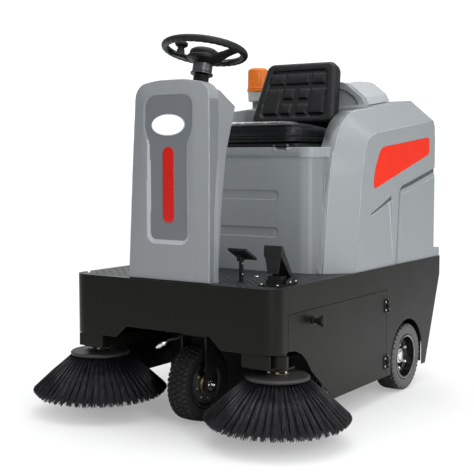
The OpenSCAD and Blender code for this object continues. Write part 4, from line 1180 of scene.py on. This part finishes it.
def backrest_height(P, distance):
    x, z = P[:, 0], P[:, 1]
    inward = -distance
    rounding = BACK_EDGE - np.sqrt(np.maximum(
        0, BACK_EDGE ** 2 - (BACK_EDGE - np.clip(inward, 0, BACK_EDGE)) ** 2))
    y = np.where(inward < BACK_EDGE, rounding, 0)
    # across coordinate that follows the taper of the backrest
    across = x / np.interp(z, [4, 266], [188, 155]) * 180.0
    Q = np.stack([across, z], 1)
    inside = -box_distance(Q, 0, 132, 146, 100, 24)
    y = y + INSET * smooth(-2.5, 6.0, inside)
    for cx, cz, half_x, half_z in PADS:
        on_pad = -box_distance(Q, cx, cz, half_x + 1.5, half_z + 1.5, 8)
        crown = np.clip(on_pad / 20.0, 0, 1)
        y = y - smooth(-1.5, 4.5, on_pad) * (INSET + 1.6 * crown) * (inside > -1)
    return y + 7.0


def backrest():
    front, faces, loop = height_face(BACKREST, 2.6, backrest_height)
    back = front[loop].copy()
    back[:, 1] = 50
    points, faces = close_rim(front, faces, loop, [back])
    piece("backrest_skin", (on_backrest(points), faces), "seat", "seat_vinyl",
          replaces=("seat_backrest",), angle=70,
          modifiers=(("SUBSURF", dict(levels=0, render_levels=0)),))


def backrest_shell():
    centre = BACK_SHELL.mean(0)
    rings = []
    for inset, y in BACK_SHELL_RINGS:
        P = centre + (BACK_SHELL - centre) * (1 - inset / 180.0)
        rings.append(np.c_[P[:, 0], np.full(len(P), y), P[:, 1]])
    points, faces = skin(rings)
    piece("backrest_shell", (on_backrest(points), faces), "seat", "black_plastic", angle=40)


backrest()
backrest_shell()

# ------------------------------------------------------------------ seat cushion
CUSHION = round_poly([(-246, 428, 56), (246, 428, 56), (247, 781, 42), (-247, 781, 42)], 14)
CUSHION_CENTRE = np.array([0, 604.0])
CUSHION_RINGS = [  # growth of the outline, z
    (-20, 966), (-9, 967), (-5, 972), (-5, 980), (-8, 984), (-4, 988), (-1, 994), (0, 1008),
    (-1, 1018), (-5, 1027), (-12, 1033), (-26, 1037.5), (-60, 1040), (-100, 1041), (-170, 1041)]
CUSHION_Z = (964.6, 1043.5)     # lowest and highest point once inflated
CUSHION_VOXEL = 6.0
SWELL_LIMIT = 5.0
CLOTH_FRAMES = 20


def cushion_ring(grow, z):
    outward = CUSHION - CUSHION_CENTRE
    length = np.linalg.norm(outward, axis=1)[:, None]
    return at_height(CUSHION + outward / length * grow, z)


def crowned(points):
    """Lower the top towards the sides, the rear and the front edge."""
    points = np.asarray(points, float).copy()
    x, y, z = points[:, 0], points[:, 1], points[:, 2]
    drop = (17.0 * smooth(110, 246, np.abs(x)) * smooth(440, 590, y)
            + 10.0 * smooth(640, 780, y) + 5.0 * (1 - smooth(398, 450, y)))
    points[:, 2] = z - drop * smooth(985, 1030, z)
    return points


def inflated(item, rest):
    """Points after a cloth simulation under pressure, with the swelling limited."""
    modifier = item.modifiers.new("cloth", "CLOTH")
    settings = modifier.settings
    settings.use_pressure = True
    settings.uniform_pressure_force = 4.0
    settings.quality = 5
    settings.tension_stiffness = 22
    settings.compression_stiffness = 22
    settings.shear_stiffness = 12
    settings.bending_stiffness = 3
    settings.effector_weights.gravity = 0.0
    modifier.point_cache.frame_start = 1
    modifier.point_cache.frame_end = CLOTH_FRAMES
    for number in range(1, CLOTH_FRAMES + 1):
        scene.frame_set(number)
    result = item.evaluated_get(bpy.context.evaluated_depsgraph_get())
    move = np.array([vertex.co[:] for vertex in result.data.vertices]) - rest
    item.modifiers.remove(modifier)
    scene.frame_set(1)
    length = np.linalg.norm(move, axis=1)[:, None]
    return rest + move * np.minimum(1, (SWELL_LIMIT / 1000.0) / np.maximum(length, 1e-9))


def seat_cushion():
    points, faces = skin([cushion_ring(*row) for row in CUSHION_RINGS])
    mesh = build_mesh("seat_cushion_pad", crowned(points), faces)
    pad = make_object("seat_cushion_pad", mesh)
    bpy.context.view_layer.objects.active = pad
    for other in bpy.context.selected_objects:
        other.select_set(False)
    pad.select_set(True)
    mesh.remesh_voxel_size = CUSHION_VOXEL / 1000.0
    mesh.remesh_voxel_adaptivity = 0
    bpy.ops.object.voxel_remesh()
    shape = np.array([vertex.co[:] for vertex in pad.data.vertices])
    shape = inflated(pad, shape)
    shape[:, 2] = np.clip(shape[:, 2], CUSHION_Z[0] / 1000, CUSHION_Z[1] / 1000)
    pad.data.vertices.foreach_set("co", shape.astype(np.float32).ravel())
    pad.data.update()
    smoothing = pad.modifiers.new("smooth", "SMOOTH")
    smoothing.factor = 0.5
    smoothing.iterations = 4
    subdivision = pad.modifiers.new("sub", "SUBSURF")
    subdivision.levels = 1
    subdivision.render_levels = 1
    pad.data.shade_smooth()
    pad.data.materials.clear()
    pad.data.materials.append(M["seat_vinyl"])
    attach(pad, "seat")
    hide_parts("seat_cushion")


seat_cushion()
piping = Shapes()
piping.add(*loop_tube(cushion_ring(-3.5, 984.5), 3.0))
piping.add(*loop_tube(crowned(cushion_ring(-5.5, 1030.5)), 2.4))
piece("seat_cushion_piping", piping.joined(), "seat", "seat_vinyl", angle=180)

# ------------------------------------------------------------------ rear body
CUT_OVER = 4.0                  # cutters stand this far out of the side
SEAM_DEPTH = 4.6
SEAM = [  # y and z of the steep wall, then the way from it to where the groove runs out
    (897, 498, 25, 0), (903, 560, 25, 0), (916, 690, 25, 0), (921, 750, 25, -4),
    (924, 778, 24, -11), (932, 797, 20, -21), (948, 806, 13, -29), (1010, 818, 6, -34),
    (1120, 841, 5, -35), (1200, 858, 5, -35), (1285, 876, 5, -35)]
# (y, z) of the mark on each side: two wedge cuts that meet at its upper rear corner
MARK_FRONT, MARK_CORNER, MARK_FOOT = (664, 704), (856, 771), (872, 548)
MARK_FULL = 9.0                 # size at which a wedge has its full depth and width


def cutter(name, sections):
    return make_object(name, build_mesh(name, *skin(sections)))


def cut_section(side, depth, wall, floor, runout, clear):
    """Section of a cutter: steep wall, flat floor, slope out to the surface; (y, z) points."""
    stations = ((CUT_OVER, wall), (-depth, wall), (-depth, floor), (clear, runout),
                (CUT_OVER, runout))
    return [(side * (BODY_X + out), y, z) for out, (y, z) in stations]


def seam_sections(side):
    return [cut_section(side, SEAM_DEPTH, (y, z), (y + 0.6 * dy, z + 0.5 * dz),
                        (y + dy, z + dz), 0.1) for y, z, dy, dz in SEAM]


def wedge_sections(side, start, end, inward, start_size, end_size, floor_part):
    start, end, inward = (np.array(value, float) for value in (start, end, inward))
    sections = []
    for t in np.linspace(0, 1, 12):
        wall = start + (end - start) * t
        size = start_size + (end_size - start_size) * t
        width = 5 + 24 * (size / MARK_FULL)
        sections.append(cut_section(side, 5.2 * size / MARK_FULL, wall,
                                    wall + inward * (floor_part * width),
                                    wall + inward * width, 0.05))
    return sections


def cut_body():
    """Rear body mesh with the seams and marks cut into both sides."""
    source = NODES["rear_body"].data.copy()
    source.name = "rear_body_work"
    tidy(source, merge=5e-6)
    work = make_object("rear_body_work", source)
    cutters = []
    for name, side in SIDES:
        cutters += [
            cutter(name + "_seam_cut", seam_sections(side)),
            cutter(name + "_mark_top", wedge_sections(
                side, MARK_FRONT, MARK_CORNER, (0.30, -0.95), 0.6, MARK_FULL, 0.62)),
            cutter(name + "_mark_rear", wedge_sections(
                side, MARK_CORNER, MARK_FOOT, (-0.995, -0.05), MARK_FULL, 0.6, 0.08))]
    for tool in cutters:
        cut = work.modifiers.new("cut_" + tool.name, "BOOLEAN")
        cut.operation = "DIFFERENCE"
        cut.object = tool
        cut.solver = "EXACT"
    depsgraph = bpy.context.evaluated_depsgraph_get()
    depsgraph.update()
    mesh = bpy.data.meshes.new_from_object(work.evaluated_get(depsgraph))
    mesh.name = "rear_body_shell"
    for item in [work] + cutters:
        bpy.data.objects.remove(item)
    bm = bmesh.new()
    bm.from_mesh(mesh)
    bmesh.ops.remove_doubles(bm, verts=bm.verts, dist=2e-6)
    bmesh.ops.dissolve_degenerate(bm, edges=bm.edges, dist=1e-6)
    bm.to_mesh(mesh)
    bm.free()
    return mesh


BODY_SLOTS = ("body_grey", "frame_black", "console_painted_light", "groove_painted_shade", "body_painted_shade", "body_painted_half_shade")


# painted shade and painted light on parts of the rear body; the rest stays body grey
def body_material(centre, normal):
    x, y, z = to_mm(centre)
    out = abs(x)
    facing = abs(normal.x)
    if 288 < out < 331.5 and z > 504 and normal.y < -0.25 and facing < 0.45 and y < 900:
        return "body_painted_shade"         # front band of the side: painted shade
    # painted shade on the pedestal's rounded corners where they turn outwards, darkest where they
    # face fully sideways
    if (230 < out < 331.5 and 504 < z < 916 and normal.y < 0.2 and normal.x * x > 0
            and facing > 0.45):
        return "body_painted_shade" if facing > 0.72 else "body_painted_half_shade"
    if 407 < out < 414.0 and facing > 0.998 and y > 600:
        return "groove_painted_shade"          # floors of the cuts: painted shade
    if 408 < out < 414.9 and 0.5 < facing < 0.999 and 825 < y < 875 and z < 770:
        return "console_painted_light"      # slope of the rear wedge: painted light
    return "body_grey"


def crease_highlight_section(point, normal, sides):
    """Low four-point section of a painted highlight strip on an edge."""
    P = Vector(to_mm(point))
    return [tuple(P + sides[0] * 1.5 + normal * 0.10), tuple(P + normal * 0.45),
            tuple(P + sides[1] * 1.5 + normal * 0.10), tuple(P - normal * 0.8)]


def crease_highlights(mesh):
    """Fine light strips where the moulded faces of the shell meet: painted highlights along the
    creases.
    """
    bm = bmesh.new()
    bm.from_mesh(mesh)
    highlight_strips = Shapes()
    for edge in bm.edges:
        if len(edge.link_faces) != 2 or edge.calc_length() < 0.004 or not edge.is_convex:
            continue
        first, second = (face.normal for face in edge.link_faces)
        if not 13 < math.degrees(first.angle(second, 0.0)) < 62:
            continue
        start, end = (vertex.co for vertex in edge.verts)
        middle = (start + end) / 2
        normal = (first + second).normalized()
        along = (end - start).normalized()
        if (abs(middle.x) * 1000 < 327 or middle.z * 1000 < 512 or normal.z < -0.2
                or abs(along.x) > 0.6 or normal.x * middle.x < -0.02 or abs(normal.x) < 0.08):
            continue
        sides = []
        for face in edge.link_faces:
            across = face.calc_center_median() - middle
            across = across - along * across.dot(along)
            sides.append(across.normalized() if across.length > 1e-6 else normal)
        highlight_strips.add(*skin([crease_highlight_section(point, normal, sides) for point in (start, end)]))
    bm.free()
    piece("shell_crease_highlights", highlight_strips.joined(), "machine", "bead_grey", slot="body_grey",
          angle=180)


def rear_body():
    mesh = cut_body()
    mesh.materials.clear()
    for name in BODY_SLOTS:
        mesh.materials.append(M[name])
    for polygon in mesh.polygons:
        polygon.material_index = BODY_SLOTS.index(body_material(polygon.center, polygon.normal))
    crease_highlights(mesh)
    mesh.shade_smooth()
    mesh.set_sharp_from_angle(angle=math.radians(24))
    shell = make_object("rear_body_shell", mesh)
    weighting = shell.modifiers.new("flat_faces", "WEIGHTED_NORMAL")
    weighting.weight = 100
    weighting.keep_sharp = True
    weighting.mode = "FACE_AREA_WITH_ANGLE"
    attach(shell, "machine")
    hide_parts("rear_body")


rear_body()


# ------------------------------------------------------------------ small fittings
def hinge_screws(name, body, sides, y):
    bolt_set(name, [sideways(side * 423.0, y, z + dz, side)
                    for side in sides for z in (143, 358) for dz in (-15, 15)], 4.2, 2.6, body)


# the screws on the door side ride with the doors
hinge_screws("hinge_screws", "machine", (1, -1), 828)
hinge_screws("left_door_screws", "left_door", (1,), 800)
hinge_screws("right_door_screws", "right_door", (-1,), 800)

pedal_base = Shapes()
for y, z in ((136, 516), (172, 516)):
    pedal_base.add(*bolt_dome(sideways(397.2, y, z), 4.2, 3.0))
for x, y in ((328, 72), (388, 72), (329, 176), (389, 176)):
    pedal_base.add(*bolt_dome(upright(x, y, 511.1), 4.6, 3.4))
piece("pedal_base_bolts", pedal_base.joined(), "machine", "zinc", slot="zinc")

pedal_face = Shapes()
for x in (336, 358, 380):
    pedal_face.add(*bolt_dome(forwards(x, 89.9, 596), 2.6, 2.0))
for y, z in ((104, 604), (128, 566), (150, 540)):
    pedal_face.add(*bolt_dome(sideways(391.1, y, z), 3.4, 2.4))
piece("pedal_face_bolts", pedal_face.joined(), "accelerator", "rim", slot="zinc")

bolt_set("brake_post_bolts", [sideways(215.1, 134, z) for z in (530, 566)], 3.4, 2.4, "brake")

# cable at the front and its connector
CABLE_PATH = [(-44, 56, 289), (-26, 58, 301), (-2, 66, 306), (6, 96, 330)]
CONNECTOR = [(0.001, -4), (4, -4), (5.5, -3), (6.5, 4), (5.5, 6), (9, 8), (9.4, 22), (7.5, 24),
             (7.5, 28), (9.4, 30), (9.4, 40), (5.4, 43), (4.4, 46), (0.001, 46)]
piece("front_cable", tube(curve_through(CABLE_PATH, 10), 4.0, 10), "machine", "cable",
      slot="rubber")
axis = np.array([0.86, 0.0, 0.50])
axis /= np.linalg.norm(axis)
across = np.cross(axis, [0, 1, 0])
across /= np.linalg.norm(across)
piece("cable_connector",
      lathe(CONNECTOR, 24, local_frame((-82, 56, 268), across, np.cross(axis, across), axis)),
      "machine", "chrome", slot="zinc")


# ------------------------------------------------------------------ studio, in metres
def floor():
    mesh = bpy.data.meshes.new("floor")
    mesh.from_pydata([(-40, -40, 0), (40, -40, 0), (40, 40, 0), (-40, 40, 0)], [],
                     [(0, 1, 2, 3)])
    item = make_object("floor", mesh)
    material, tree, shader, output = new_material("floor_pale")
    position = add_node(tree, "TexCoord").outputs["Object"]
    noise = add_node(tree, "TexNoise", {"Scale": 0.8, "Vector": position}).outputs[0]
    grey = map_range(tree, noise, 0, 1, 0.86, 0.90)
    colour = add_node(tree, "CombineColor", {0: grey, 1: grey, 2: grey}).outputs[0]
    tree.links.new(colour, shader.inputs["Base Color"])
    shader.inputs["Roughness"].default_value = 0.95
    shader.inputs["Specular IOR Level"].default_value = 0.05
    # seen directly the floor brightens to white away from the machine
    white = add_node(tree, "Emission", {0: (1, 1, 1, 1), 1: 1.05}).outputs[0]
    distance = add_node(tree, "VectorMath", {0: position}, operation="LENGTH").outputs["Value"]
    fade = map_range(tree, distance, 0.55, 1.30, 0.30, 1.0, interpolation_type="SMOOTHSTEP")
    seen = add_node(tree, "LightPath").outputs["Is Camera Ray"]
    factor = math_node(tree, "MULTIPLY", seen, fade)
    mixed = add_node(tree, "MixShader", {0: factor, 1: shader.outputs[0], 2: white})
    tree.links.new(mixed.outputs[0], output.inputs[0])
    mesh.materials.append(material)


# brightness of the surroundings: all round, added to the left (+x), added overhead
WORLD_BASE, WORLD_LEFT, WORLD_TOP = 0.27, 0.18, 0.45


def studio_world():
    """Soft gradient that lights the machine; the camera sees plain white."""
    world = bpy.data.worlds.new("studio")
    scene.world = world
    world.use_nodes = True
    tree = world.node_tree
    tree.nodes.clear()
    direction = add_node(tree, "TexCoord").outputs["Generated"]
    parts = add_node(tree, "SeparateXYZ", {0: direction}).outputs

    def towards(part, amount):
        return math_node(tree, "MULTIPLY", math_node(tree, "MAXIMUM", part, 0.0), amount)

    glow = math_node(tree, "ADD", towards(parts[0], WORLD_LEFT), towards(parts[2], WORLD_TOP))
    strength = math_node(tree, "ADD", glow, WORLD_BASE)
    lighting = add_node(tree, "Background", {0: (0.97, 0.985, 1.0, 1), 1: strength})
    backdrop = add_node(tree, "Background", {0: (1, 1, 1, 1), 1: 1.2})
    seen = add_node(tree, "LightPath").outputs["Is Camera Ray"]
    mixed = add_node(tree, "MixShader",
                     {0: seen, 1: lighting.outputs[0], 2: backdrop.outputs[0]})
    add_node(tree, "OutputWorld", {0: mixed.outputs[0]})


def area_light(name, location, target, size, size_y, power):
    light = bpy.data.lights.new(name, "AREA")
    light.energy = power
    light.shape = "RECTANGLE"
    light.size = size
    light.size_y = size_y
    item = make_object(name, light)
    item.location = location
    aim = Vector(target) - Vector(location)
    item.rotation_euler = aim.to_track_quat("-Z", "Y").to_euler()


def camera():
    data = bpy.data.cameras.new("camera")
    data.lens = 75.77
    data.sensor_width = 36.0
    data.clip_start = 0.1
    data.clip_end = 100
    item = make_object("camera", data)
    item.location = (2.0118, (-2604.3 + CHASSIS_SHIFT) / 1000.0, 0.9165)
    # tilted down from the horizontal, then turned about z
    item.rotation_euler = (math.radians(90 - 4.589), 0, math.radians(33.588))
    scene.camera = item


floor()
studio_world()
area_light("key", (4.2, 0.6, 3.0), target=(0, 0, 0.6), size=2.6, size_y=2.4, power=36)
area_light("top", (0.3, 0.0, 4.2), target=(0, 0, 0.5), size=4.2, size_y=4.2, power=110)
area_light("strip", (3.5, -2.7, 1.8), target=(0, -0.2, 0.6), size=0.42, size_y=2.4, power=62)
area_light("back", (-2.6, 3.4, 3.0), target=(0, 0, 0.8), size=2.4, size_y=1.6, power=40)
camera()
scene.view_settings.view_transform = "Standard"
scene.view_settings.look = "None"
scene.view_settings.exposure = 0.0
